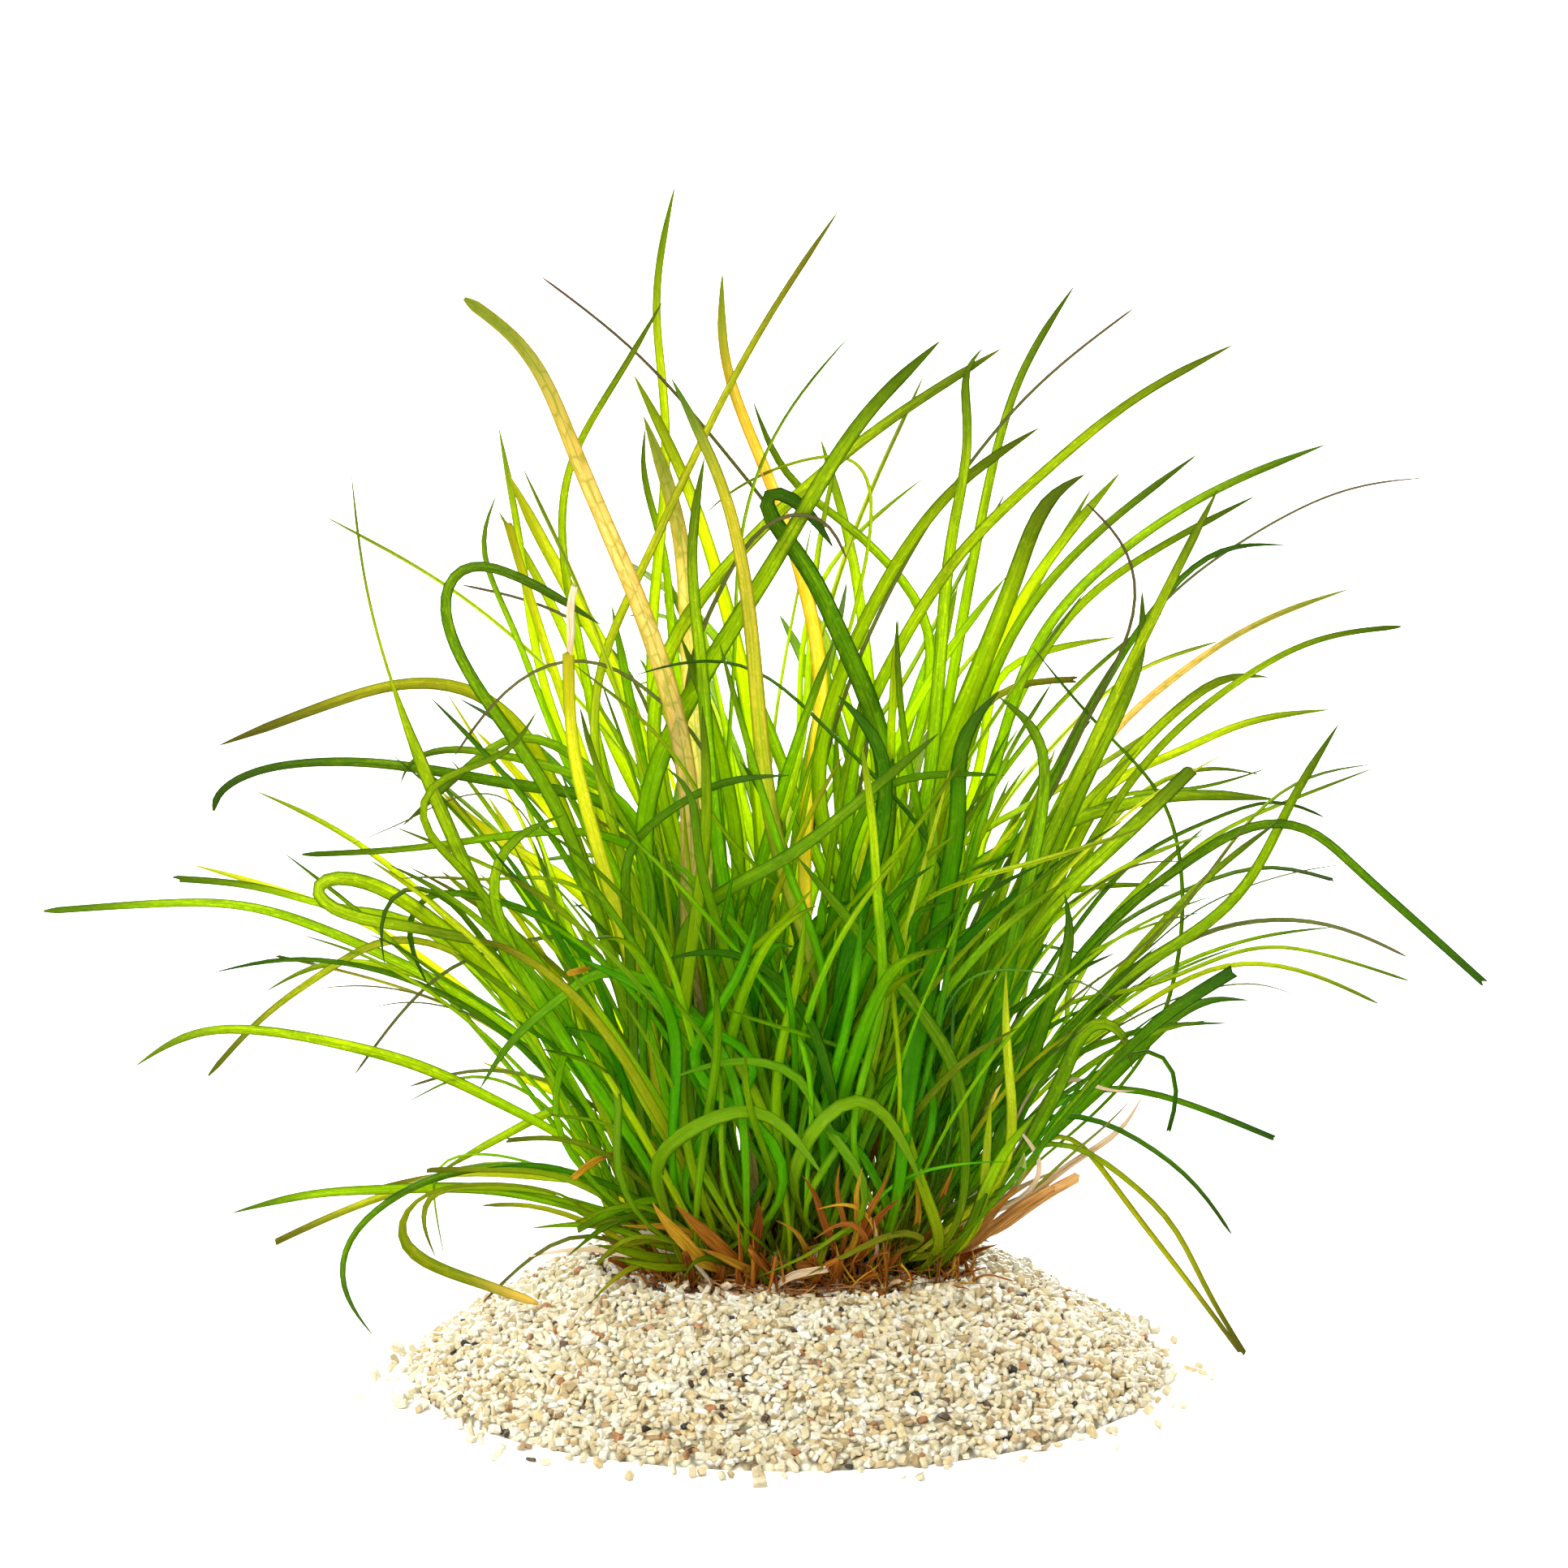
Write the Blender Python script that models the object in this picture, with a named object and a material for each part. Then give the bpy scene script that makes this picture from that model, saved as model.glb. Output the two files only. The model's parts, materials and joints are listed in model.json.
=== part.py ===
"""Red helanthium tenellum: a tuft of narrow grass-like leaves in a heap of quartz sand.

The heap carries a flat root ball. Small crowns stand on the root ball, each with a rosette of
leaves grown out of it, and the long outer leaves stand between the crowns as pieces of their own.
Lengths are in millimetres up to the last step, which writes each mesh in metres. The origin is at
the middle of the heap's flat underside, +Z is up, and the tuft is seen from the front along +Y.
"""

import math
from typing import NamedTuple

import bmesh
import bpy
import numpy as np
from mathutils import Vector

MM = 0.001
GAP = 0.3
SEED = 11

# The heap of sand: half width along X, half depth along Y and height of each ring, outside first.
HEAP_RINGS = (
    (49.6, 49.6, 0.0), (49.4, 49.4, 0.9), (46.2, 45.6, 3.7), (41.6, 40.2, 7.0), (36.6, 34.2, 10.2),
    (31.0, 27.2, 13.0), (27.2, 21.8, 14.6), (25.4, 19.4, 14.4), (24.8, 18.8, 12.2),
)
HEAP_SIDES = 40
HEAP_LUMPS = 0.7
LUMP_WAVES = (2, 3, 5, 7)
# The root ball: half width along X, half depth along Y and height of each ring.
ROOT_RINGS = ((23.4, 17.4, 12.5), (24.3, 18.3, 13.4), (23.6, 17.6, 14.5), (20.5, 14.5, 15.0))
ROOT_SIDES = 28
ROOT_TOP = 15.0
FOOT_LEVEL = ROOT_TOP + GAP
FOOT_HALF_WIDTH = 21.0
FOOT_HALF_DEPTH = 15.0

# The crowns, and the leaves that grow from each.
CROWNS = 14
CROWN_RADIUS = 2.3
CROWN_UNDERSIDE = 1.1
CROWN_FACE_REACH = 1.2
LEAVES_PER_CROWN = 12
GOLDEN_ANGLE = math.radians(137.508)

# The blades: thickness as a share of width, and the width left at the foot and at a cut tip.
THICKNESS_SHARE = 0.36
FOOT_SHARE = 0.74
CUT_SHARE = 0.72
LEAST_WIDTH = 0.95
CLEAR_OF_BLADE = 0.4
MOST_DRIFT = 11.0

# The direction that the leaf routes are drawn in: from the front and a little above.
VIEW_TILT = math.radians(12.0)
VIEW_DISTANCE = 1500.0
VIEW_CENTRE = (-0.43, 77.85)
RIGHT = np.array((1.0, 0.0, 0.0))
UP = np.array((0.0, math.sin(VIEW_TILT), math.cos(VIEW_TILT)))
AWAY = np.array((0.0, math.cos(VIEW_TILT), -math.sin(VIEW_TILT)))
EYE = VIEW_CENTRE[0] * RIGHT + VIEW_CENTRE[1] * UP - VIEW_DISTANCE * AWAY

# Looks: colour, roughness. The leaves' go by tone.
SAND_LOOK = ((0.78, 0.72, 0.62), 0.9)
ROOT_LOOK = ((0.32, 0.20, 0.10), 0.9)
TONES = {
    "lime": ((0.52, 0.66, 0.09), 0.45),
    "green": ((0.24, 0.45, 0.05), 0.42),
    "deep": ((0.07, 0.27, 0.03), 0.40),
    "olive": ((0.36, 0.38, 0.12), 0.55),
    "yellow": ((0.70, 0.66, 0.16), 0.50),
    "tan": ((0.80, 0.60, 0.26), 0.55),
    "brown": ((0.30, 0.20, 0.10), 0.65),
}


class Blade(NamedTuple):
    """One leaf as it is seen from the front.

    tone names its colour, width is the width seen, rank goes from -1 at the front of the tuft to 1
    at its back, and route is the middle line from the tip down to where other leaves hide it,
    across and up. A cut blade ends blunt.
    """

    tone: str
    width: float
    rank: float
    route: tuple
    cut: bool = False


# The outer leaves, each a piece of its own: upper left, upper right, right, lower right, left.
OUTER_LEAVES = (
    Blade("green", 1.5, -0.2, ((-57.8, 119.6), (-55.2, 101), (-50.5, 86), (-42, 66), (-33, 48))),
    Blade("olive", 1.2, 0.3, ((-75.2, 83), (-68, 85.6), (-60, 88.7), (-50, 91.2), (-45, 91.3),
                              (-38, 88), (-33.5, 82.5), (-31, 77.5))),
    Blade("deep", 1.4, -0.2, ((-24.8, 99), (-32, 103.3), (-40, 107), (-43.4, 106.8), (-45.5, 103.5),
                              (-44.5, 97), (-40, 89.5), (-33, 79), (-30, 75))),
    Blade("olive", 1.0, 0.1, ((-16.5, 141.8), (-21, 133.5), (-26.8, 125), (-29.8, 116),
                              (-29.5, 107), (-26.3, 90), (-24, 77))),
    Blade("tan", 2.4, -0.3, ((-42.8, 142.2), (-37, 138.2), (-32, 130.8), (-28.2, 122),
                             (-22, 107.5), (-17, 94.5), (-11.5, 72))),
    Blade("lime", 1.0, 0.4, ((-14.9, 157), (-17.5, 140), (-16, 125), (-16.5, 113), (-17.5, 90))),
    Blade("green", 1.2, -0.1, ((6.8, 153.8), (-3.5, 138), (-10, 126), (-16.5, 112), (-22, 100),
                               (-26, 85))),
    Blade("tan", 1.7, 0.2, ((-8.6, 145.5), (-9, 138), (-6.5, 129), (-2, 117), (3, 101), (5.5, 90))),
    Blade("yellow", 1.9, -0.4, ((-15.3, 131.5), (-10, 121), (-6, 108.5), (-1.5, 88), (1.5, 72),
                                (3.5, 57))),
    Blade("green", 1.6, -0.1, ((25.8, 135.5), (23.8, 134), (23.7, 128), (23, 120), (21, 104),
                               (19, 86))),
    Blade("green", 1.2, 0.5, ((38, 143.8), (33, 136.5), (28.3, 124), (25.5, 109), (20.5, 82))),
    Blade("green", 1.3, -0.2, ((59, 136), (50, 131.5), (40, 124.3), (30, 115.5), (23, 108.5),
                               (14, 95), (9, 86))),
    Blade("green", 1.2, 0.2, ((71.3, 122.8), (60, 118.5), (50, 112.7), (41, 106), (34, 98),
                              (29, 88))),
    Blade("olive", 1.8, -0.4, ((57, 116.8), (53, 108), (49, 101.5), (43.5, 89.5), (41, 84))),
    Blade("brown", 0.6, 0.4, ((85.7, 118.5), (78, 118), (66, 113.2), (55, 106.5), (44, 95))),
    Blade("green", 1.6, -0.3, ((47, 103.3), (47.3, 97), (45, 90.5), (38.5, 76))),
    Blade("tan", 0.9, 0.3, ((74.5, 103.7), (65, 100.5), (55, 94.5), (43, 84.5))),
    Blade("green", 0.9, 0.0, ((81.3, 98.7), (72, 97.6), (62, 93), (54, 86.7), (46, 79))),
    Blade("deep", 1.3, -0.3, ((73, 85.7), (69.3, 80), (63.5, 69.5), (59, 62), (53, 57.5),
                              (45, 52.5), (40, 48.5))),
    Blade("green", 1.0, -0.5, ((92.3, 51.5), (83, 60), (76, 65.5), (71.5, 70.7), (65, 73),
                               (57, 70), (45, 61.5), (36, 52))),
    Blade("green", 1.6, 0.1, ((64.7, 75.8), (55, 76.5), (45, 75.2), (32, 70.8), (22, 63))),
    Blade("green", 1.8, -0.5, ((53.5, 79.7), (45, 71.5), (37, 64), (30, 56)), True),
    Blade("green", 0.7, -0.2, ((82.3, 51.8), (70, 55.6), (64, 56.5), (54, 53.5), (42, 49.8),
                               (36, 48.5))),
    Blade("deep", 2.2, -0.85, ((59, 53), (53, 49.5), (46, 43.5), (38, 35.5), (34, 31)), True),
    Blade("deep", 1.8, -0.25, ((61, 49.2), (57, 49.8), (50, 45.8), (42, 38), (32, 28), (27, 22))),
    Blade("olive", 0.6, -0.2, ((60, 2.6), (52, 13.3), (44, 23.5), (36, 32))),
    Blade("green", 0.7, -0.1, ((32.5, 96), (39, 88), (46.5, 80), (51, 73.5), (52.3, 63),
                               (51.5, 53), (48, 43), (40, 33), (30, 24))),
    Blade("green", 1.3, -0.7, ((45.7, 40.2), (44.5, 45.5), (41, 47), (37, 41), (33, 33))),
    Blade("deep", 1.6, -0.7, ((36.8, 63.2), (37.8, 60.5), (36, 52), (33.5, 44), (32, 40))),
    Blade("green", 1.6, -0.5, ((28, 89.4), (33, 85), (34.2, 79), (32.8, 70), (30, 58))),
    Blade("green", 1.1, 0.0, ((-98.5, 61), (-84, 62), (-72, 61.8), (-60, 58), (-44, 50.3),
                              (-28, 38))),
    Blade("green", 1.1, 0.3, ((-76, 74.3), (-77, 75.5), (-71, 79.2), (-62, 80.9), (-45, 79.5),
                              (-30, 76.5), (-20, 72.5))),
    Blade("lime", 1.1, -0.2, ((-64.3, 68.5), (-50, 69.3), (-35, 71.3), (-25, 71.3), (-19, 69),
                              (-13, 60.5)), True),
    Blade("green", 1.6, -0.4, ((-36, 55.8), (-50, 58.8), (-61.5, 61.8), (-63.6, 64.2),
                               (-60, 65.8), (-54, 63.8), (-41, 55))),
    Blade("olive", 1.0, -0.1, ((-76.7, 39.2), (-68, 48.3), (-60, 53.8), (-52, 57.5),
                               (-44, 55.6), (-33, 46))),
    Blade("green", 1.2, -0.4, ((-86.3, 40.5), (-80, 44.5), (-72, 45.4), (-60, 43.6),
                               (-46, 39.5), (-34, 33.3), (-26, 28))),
    Blade("green", 1.1, -0.5, ((-73.6, 21), (-64, 23.4), (-52, 24.2), (-40, 24.2), (-30, 22),
                               (-20, 17))),
    Blade("deep", 0.8, -0.6, ((-54.8, 4.7), (-59.3, 12), (-57.5, 18.5), (-48, 25.3),
                              (-38, 27.3), (-26, 25.8))),
    Blade("green", 1.2, -0.9, ((-33, 9), (-46, 13.8), (-51.5, 17), (-50.5, 22), (-45, 24.5),
                               (-32, 24.5), (-24, 22))),
    Blade("green", 1.2, -0.7, ((-40.7, 37.5), (-36, 44.5), (-29, 50.3), (-26, 52.9),
                               (-22, 53.3), (-15, 50.5), (-8, 45))),
    Blade("deep", 2.0, -0.5, ((-31.5, 45.8), (-25, 44), (-19, 38), (-17, 34))),
    Blade("green", 1.1, 0.1, ((-51.2, 78), (-51, 80.4), (-45, 82.8), (-36, 81), (-28, 79),
                              (-20, 73.5))),
    Blade("green", 1.5, -0.6, ((20, 84.5), (10, 76), (-1, 67.5), (-11, 60))),
    Blade("green", 1.4, -0.7, ((1.5, 68), (10, 57.5), (22, 41), (24, 33), (23.5, 24))),
)

# Leaves of the rosettes that can be told apart from the front: top, right, left, middle.
ROSETTE_LEAVES = (
    Blade("brown", 0.4, 0.5, ((-43, 104.2), (-33, 101.8), (-24, 96.5), (-18, 86))),
    Blade("green", 0.8, 0.2, ((-38.5, 116.2), (-40.5, 110.5), (-37.5, 101), (-31, 84))),
    Blade("yellow", 0.9, 0.3, ((-37, 112.3), (-33, 99), (-28.5, 86), (-24, 72)), True),
    Blade("lime", 0.9, 0.4, ((-38.2, 125), (-36, 113), (-34, 101), (-32, 90))),
    Blade("tan", 1.8, 0.1, ((-37, 119), (-33, 111), (-28, 102), (-22.5, 92), (-18, 80))),
    Blade("brown", 0.4, 0.3, ((-32.5, 145), (-20, 135), (-8, 121.5), (4, 105.8), (10, 92))),
    Blade("lime", 1.4, 0.3, ((-20.3, 132), (-14.5, 120.5), (-9.5, 106), (-5, 90))),
    Blade("tan", 1.8, 0.0, ((-19, 126.5), (-15, 115.5), (-13, 98), (-11, 78))),
    Blade("green", 0.9, 0.6, ((-18.8, 125), (-19.5, 122.5), (-17, 113), (-15, 92))),
    Blade("deep", 1.1, -0.3, ((-11, 121), (-12.5, 113), (-11.8, 102), (-10, 90))),
    Blade("green", 1.0, 0.4, ((-4.5, 128.5), (-1, 121.5), (1.5, 116.8), (10, 110.8), (16, 103.5),
                              (19.5, 95))),
    Blade("green", 0.5, 0.2, ((8.8, 137.8), (0, 127), (-4.5, 117), (-6.2, 110.5))),
    Blade("deep", 1.8, -0.2, ((6, 109.3), (0, 116.5), (-3.2, 117), (3, 105.5), (10.5, 90))),
    Blade("green", 1.6, -0.3, ((20.2, 136.5), (11, 127.5), (1, 112), (-7.5, 98), (-18, 76))),
    Blade("green", 1.2, -0.1, ((28.3, 135.5), (16, 127.8), (3, 117.5), (-8, 107), (-18, 88))),
    Blade("brown", 0.4, 0.3, ((45.8, 140.8), (30, 127.5), (18, 110), (10.8, 90))),
    Blade("green", 1.3, 0.0, ((33.3, 125), (21, 116), (13, 104.5), (7, 90.5))),
    Blade("lime", 0.7, 0.7, ((18.2, 118.5), (10, 111), (4.5, 105.5))),
    Blade("brown", 0.5, -0.3, ((7.8, 107.8), (4.5, 113.5), (-1, 113.5), (-7, 106.5), (-13.3, 91))),
    Blade("green", 2.0, 0.2, ((39.3, 118.8), (37, 118), (33, 112), (28, 98.5), (25, 90))),
    Blade("lime", 1.3, 0.5, ((44, 119), (35, 108.5), (27, 96.5))),
    Blade("green", 1.0, 0.3, ((54.3, 121.5), (42, 112), (34, 103.5), (28, 94.5))),
    Blade("green", 0.9, 0.5, ((62, 116), (47, 107.8), (38, 100.8), (30, 88))),
    Blade("deep", 0.8, -0.1, ((66, 109.5), (59, 109.5), (53, 106), (47.5, 99.5), (42, 91))),
    Blade("brown", 0.4, -0.2, ((39.7, 115), (45, 109), (46.3, 103), (44.5, 97), (40, 88))),
    Blade("green", 1.1, 0.2, ((63.7, 92), (61, 92.7), (55, 90), (48, 84.5), (42, 77))),
    Blade("lime", 0.9, 0.4, ((71.8, 87.7), (60, 85.8), (51, 81.7), (43, 78))),
    Blade("deep", 0.6, 0.1, ((71, 73.5), (66.5, 75.6), (59, 74), (48, 69.3), (38, 58.5))),
    Blade("green", 0.7, 0.5, ((63, 79), (57, 80.2), (50, 78), (46, 76.5))),
    Blade("green", 0.6, 0.3, ((63.8, 80), (52, 77), (40, 74.8))),
    Blade("green", 0.5, -0.2, ((77.8, 80.5), (70, 79.2), (64, 76), (56, 66), (52, 61))),
    Blade("olive", 0.7, 0.6, ((77.8, 80), (67, 76), (58, 71.3), (53, 68.7))),
    Blade("green", 0.5, 0.2, ((72, 65.3), (65, 67.1), (56, 65), (42, 58))),
    Blade("brown", 0.5, -0.1, ((82, 55), (70, 59.7), (60, 59.4), (51, 56))),
    Blade("green", 0.7, -0.4, ((78.2, 48.8), (68, 53.2), (58.5, 54), (44, 46.5))),
    Blade("green", 0.6, 0.2, ((64.3, 31), (53, 35.5), (45, 37.5), (36, 36))),
    Blade("green", 0.5, -0.6, ((50.5, 32), (51.8, 38), (49, 43), (42, 40))),
    Blade("green", 0.6, -0.5, ((58.8, 18.3), (53, 26), (44, 32), (35, 34))),
    Blade("brown", 0.7, -0.6, ((60.5, 2.6), (55, 12), (50, 21), (43, 26.8), (35, 30.5))),
    Blade("deep", 1.6, -0.5, ((6.8, 89.5), (11, 85), (13, 79.5))),
    Blade("deep", 1.8, -0.4, ((28, 90), (23, 84), (21, 74), (18, 66))),
    Blade("olive", 0.8, 0.2, ((38, 91.7), (30, 90.5), (25, 88)), True),
    Blade("lime", 0.9, 0.5, ((43.5, 97.3), (32, 94.8), (28, 93))),
    Blade("yellow", 0.8, 0.4, ((-79, 67.2), (-67, 63.8), (-50, 56))),
    Blade("green", 0.8, 0.2, ((-81, 65.3), (-69, 64), (-60, 61.5), (-50, 59.8)), True),
    Blade("deep", 0.7, -0.5, ((-53.3, 53.8), (-54, 60), (-51.5, 64.3), (-47, 64), (-41, 58),
                              (-35, 50))),
    Blade("deep", 0.8, -0.3, ((-47.5, 51), (-50.5, 60), (-48, 63.3), (-40, 62.8), (-28, 57))),
    Blade("green", 0.8, 0.3, ((-69.2, 50.3), (-62, 54), (-54, 54), (-40, 48))),
    Blade("brown", 0.4, 0.5, ((-67.5, 55), (-55, 52), (-35, 43.5))),
    Blade("brown", 0.4, -0.3, ((-57.2, 39.5), (-51, 47.8), (-43, 54.5), (-33, 57.2), (-26, 57))),
    Blade("brown", 0.4, -0.2, ((-50, 37.8), (-41, 40), (-32, 38.5), (-24, 33))),
    Blade("olive", 0.8, 0.0, ((-67.7, 17.2), (-60, 20.8), (-52, 23.8), (-42, 26.5), (-33, 26)), True),
    Blade("olive", 0.7, 0.3, ((-54, 24.3), (-45, 26.2), (-30, 26)), True),
    Blade("yellow", 0.7, -0.8, ((-40.3, 22), (-33, 22), (-25, 18.5))),
    Blade("lime", 0.8, -0.2, ((-46.7, 26), (-40, 30), (-32, 34.5), (-29.5, 35.7))),
    Blade("yellow", 1.0, 0.3, ((-40.5, 41), (-32, 37.5), (-24, 33))),
    Blade("green", 0.9, -0.6, ((-29, 55.3), (-18, 50), (-8, 41))),
    Blade("brown", 0.4, -0.8, ((-40.2, 9.3), (-35, 14.3), (-27, 18.3))),
    Blade("deep", 1.5, -0.5, ((-33.2, 87.5), (-37, 82), (-45, 79), (-49, 75), (-46.5, 70.5),
                              (-38, 61), (-35, 56))),
    Blade("green", 1.0, 0.2, ((-51, 72.3), (-45, 78), (-37, 84), (-34, 84.5), (-27, 80.5),
                              (-21, 73.5))),
    Blade("brown", 0.4, -0.2, ((-44, 81.7), (-37, 90.5), (-30, 94.3), (-24, 93.8), (-15, 87.5),
                               (-8, 79))),
    Blade("deep", 0.5, -0.4, ((-21, 92), (-12, 94.3), (-4, 93), (4, 86.5), (12, 78.5), (21, 65))),
    Blade("yellow", 1.2, -0.5, ((-29, 95), (-28.7, 85), (-24.5, 68)), True),
    Blade("yellow", 1.3, 0.4, ((-46, 77), (-37, 69.5), (-29, 65), (-22, 57))),
    Blade("green", 1.1, -0.6, ((-29.7, 73.7), (-37, 70), (-39.2, 65), (-37.5, 58), (-30, 45))),
    Blade("deep", 0.9, -0.8, ((-16.5, 54.5), (-9, 55.8), (-2, 53), (4, 44))),
    Blade("deep", 0.9, -0.6, ((0.3, 79), (-8, 78.3), (-16, 74), (-21.5, 68.5))),
    Blade("deep", 1.2, -0.7, ((-16, 80), (-14, 79), (-11, 69))),
    Blade("green", 0.9, -0.5, ((28.8, 79), (20, 79.2), (12, 76.8))),
    Blade("olive", 0.9, -0.8, ((-15, 39), (-7, 41.3), (0, 40), (3.5, 35.5))),
    Blade("olive", 1.3, -1.0, ((4.7, 26), (1, 31), (-3.5, 34.7), (-8, 34.2), (-16, 28))),
    Blade("green", 1.6, -0.9, ((18, 24.5), (15, 31), (10.5, 36.5), (6, 35), (0, 26))),
    Blade("yellow", 0.9, -0.7, ((29, 53), (29, 45), (28.5, 25))),
)
# How far in front of or behind its foot a tip of rank 1 hangs, low down and for each step up.
TIP_SPREAD = 17.0
TIP_SPREAD_RISE = 0.24

# Where the crowns and the feet stand, and the room that each keeps.
CROWN_FIRST = 0.6
CROWN_TURN = 0.4
CROWN_MARGIN = 2.0
FOOT_FROM_CROWN = 1.25
FOOT_FROM_FOOT = 2.0
FOOT_MARGIN = 1.5
FOOT_ROUNDS = 400
# A foot stands under this share of the way out to its lowest seen point, more where that is low.
FOOT_SHARE_HIGH = 0.28
FOOT_SHARE_ADDED = 0.64
FOOT_SHARE_FROM = 14.0
FOOT_SHARE_OVER = 80.0

# Seen leaves: the rise above which an unseen bend is added, and where that bend is.
BEND_ABOVE = 22.0
BEND_RISE = 0.32
BEND_ACROSS = 0.16
LEAN_POWER = 1.3
# One section for each of these lengths and bends, and the fewest and most on a leaf.
SECTION_LENGTH = 30.0
SECTION_BEND = math.radians(38.0)
SECTIONS_FIRST = 3.0
FEWEST_SECTIONS = 6
MOST_SECTIONS = 11
BEND_WEIGHT = 0.16
WIDEST = 2.3
WIDTH_ALLOWANCE = 1.06
SEEN_RANGE = (0.15, 0.95)

# Where a blade has its full width, where it begins to narrow, and what is left of it at a point.
SWELL_UNTIL = 0.45
NARROW_FROM = 0.7
CUT_NARROW_FROM = 0.9
POINT_SHARE = 0.25
NARROW_POWER = 1.5

# Free leaves: ranges of length, of lean at the foot and at the tip, and of width.
FREE_LENGTHS = (60.0, 122.0)
FREE_START_LEANS = (3.0, 20.0)
FREE_END_LEANS = (20.0, 105.0)
FREE_WIDTHS = (1.0, 1.6)
FREE_LONG = 95.0
FREE_HEADING_SPREAD = 0.62
FREE_BACK_RANGE = (-20.0, 26.0)
FREE_FRONT_SHORTER = 0.22
FREE_FRONT_STEEPER = 0.25
FREE_BEND_POWER = 1.4
FREE_SWAY = 0.10
FREE_TURN = 0.6
FREE_TONES = ("green", "green", "deep", "lime", "olive")

# The crown's rings of corners, drawn in above and out below, and the collar of each of its leaves.
SHOULDER_SHARE = 0.60
WAIST_SHARE = 1.12
FACE_LEAST_TILT = 0.1
FACE_FLATTENED = 0.35
COLLAR_RISE = 1.4
COLLAR_LIFT = np.array((0.0, 0.0, 1.0))
COLLAR_SHARE = 0.62
COLLAR_DRIFT = 1.6

# Settling: how far the leaves look for neighbours and how strongly they give way.
ROUNDS = 600
PAIRS_EVERY = 12
PAIR_MARGIN = 3.0
PUSH = 1.15
CROSSED = 0.05
RAY_SLANT = 0.15
SAND_MARGIN = 0.7
DISH_HALVES = (24.0, 18.0)
CROWN_HEIGHT = 3.6
CROWN_CLEAR = 0.4
SETTLED = 0.02


class Root(NamedTuple):
    """The face of a crown that a leaf grows from: number, centre, way out and corners."""

    number: int
    centre: np.ndarray
    normal: np.ndarray
    corners: np.ndarray


class Leaf:
    """A leaf's middle line, width and facing, ready to be settled and built."""

    def __init__(self, line, widths, tone, home, seen=None, hidden=0):
        self.line = line
        self.widths = widths
        self.tone = tone
        self.home = home
        self.seen = seen
        self.hidden = hidden
        self.turn = 0.0
        self.root = None


def lift(across, up, depth):
    """Returns the point seen at (across, up) that lies depth beyond the tuft's middle."""
    spread = 1.0 + depth / VIEW_DISTANCE
    side = VIEW_CENTRE[0] + (across - VIEW_CENTRE[0]) * spread
    height = VIEW_CENTRE[1] + (up - VIEW_CENTRE[1]) * spread
    return side * RIGHT + height * UP + depth * AWAY


def sight(point):
    """Returns where a point is seen, across and up."""
    depth = float(point @ AWAY)
    spread = 1.0 + depth / VIEW_DISTANCE
    across = VIEW_CENTRE[0] + (float(point @ RIGHT) - VIEW_CENTRE[0]) / spread
    up = VIEW_CENTRE[1] + (float(point @ UP) - VIEW_CENTRE[1]) / spread
    return across, up


def depth_for(up, y):
    """Returns the depth at which a point seen at a height lies at y."""
    tilt = math.sin(VIEW_TILT)
    rise = (up - VIEW_CENTRE[1]) / VIEW_DISTANCE
    return (y - up * tilt) / (math.cos(VIEW_TILT) + rise * tilt)


def unit(vectors):
    """Returns the vectors at length one."""
    lengths = np.linalg.norm(vectors, axis=-1, keepdims=True)
    return vectors / np.maximum(lengths, 1e-9)


def carry(vector, start, end):
    """Returns a vector turned as start turns to end, the shortest way."""
    turn = Vector(start).rotation_difference(Vector(end))
    return np.array(turn @ Vector(vector))


def smooth_curve(points, steps=12):
    """Returns a dense smooth curve through the points, rounded as a bent blade is."""
    points = np.asarray(points, dtype=float)
    ends = np.vstack((2 * points[0] - points[1], points, 2 * points[-1] - points[-2]))
    gaps = np.sqrt(np.linalg.norm(np.diff(ends, axis=0), axis=1))
    knots = np.concatenate(((0.0,), np.cumsum(gaps)))
    curve = []
    for i in range(1, len(ends) - 2):
        k0, k1, k2, k3 = knots[i - 1:i + 3]
        p0, p1, p2, p3 = ends[i - 1:i + 3]
        for t in np.linspace(k1, k2, steps, endpoint=False):
            a1 = (k1 - t) / (k1 - k0) * p0 + (t - k0) / (k1 - k0) * p1
            a2 = (k2 - t) / (k2 - k1) * p1 + (t - k1) / (k2 - k1) * p2
            a3 = (k3 - t) / (k3 - k2) * p2 + (t - k2) / (k3 - k2) * p3
            b1 = (k2 - t) / (k2 - k0) * a1 + (t - k0) / (k2 - k0) * a2
            b2 = (k3 - t) / (k3 - k1) * a2 + (t - k1) / (k3 - k1) * a3
            curve.append((k2 - t) / (k2 - k1) * b1 + (t - k1) / (k2 - k1) * b2)
    curve.append(points[-1])
    return np.array(curve)


def even_points(curve, count):
    """Returns count points along a curve, closer together where it bends."""
    steps = np.diff(curve, axis=0)
    lengths = np.linalg.norm(steps, axis=1)
    directions = unit(steps)
    bends = np.arccos(np.clip((directions[1:] * directions[:-1]).sum(axis=1), -1.0, 1.0))
    effort = lengths / lengths.sum()
    effort[1:] += BEND_WEIGHT * bends
    along = np.concatenate(((0.0,), np.cumsum(effort)))
    wanted = np.linspace(0.0, along[-1], count)
    return np.column_stack([np.interp(wanted, along, curve[:, axis]) for axis in range(3)])


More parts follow.
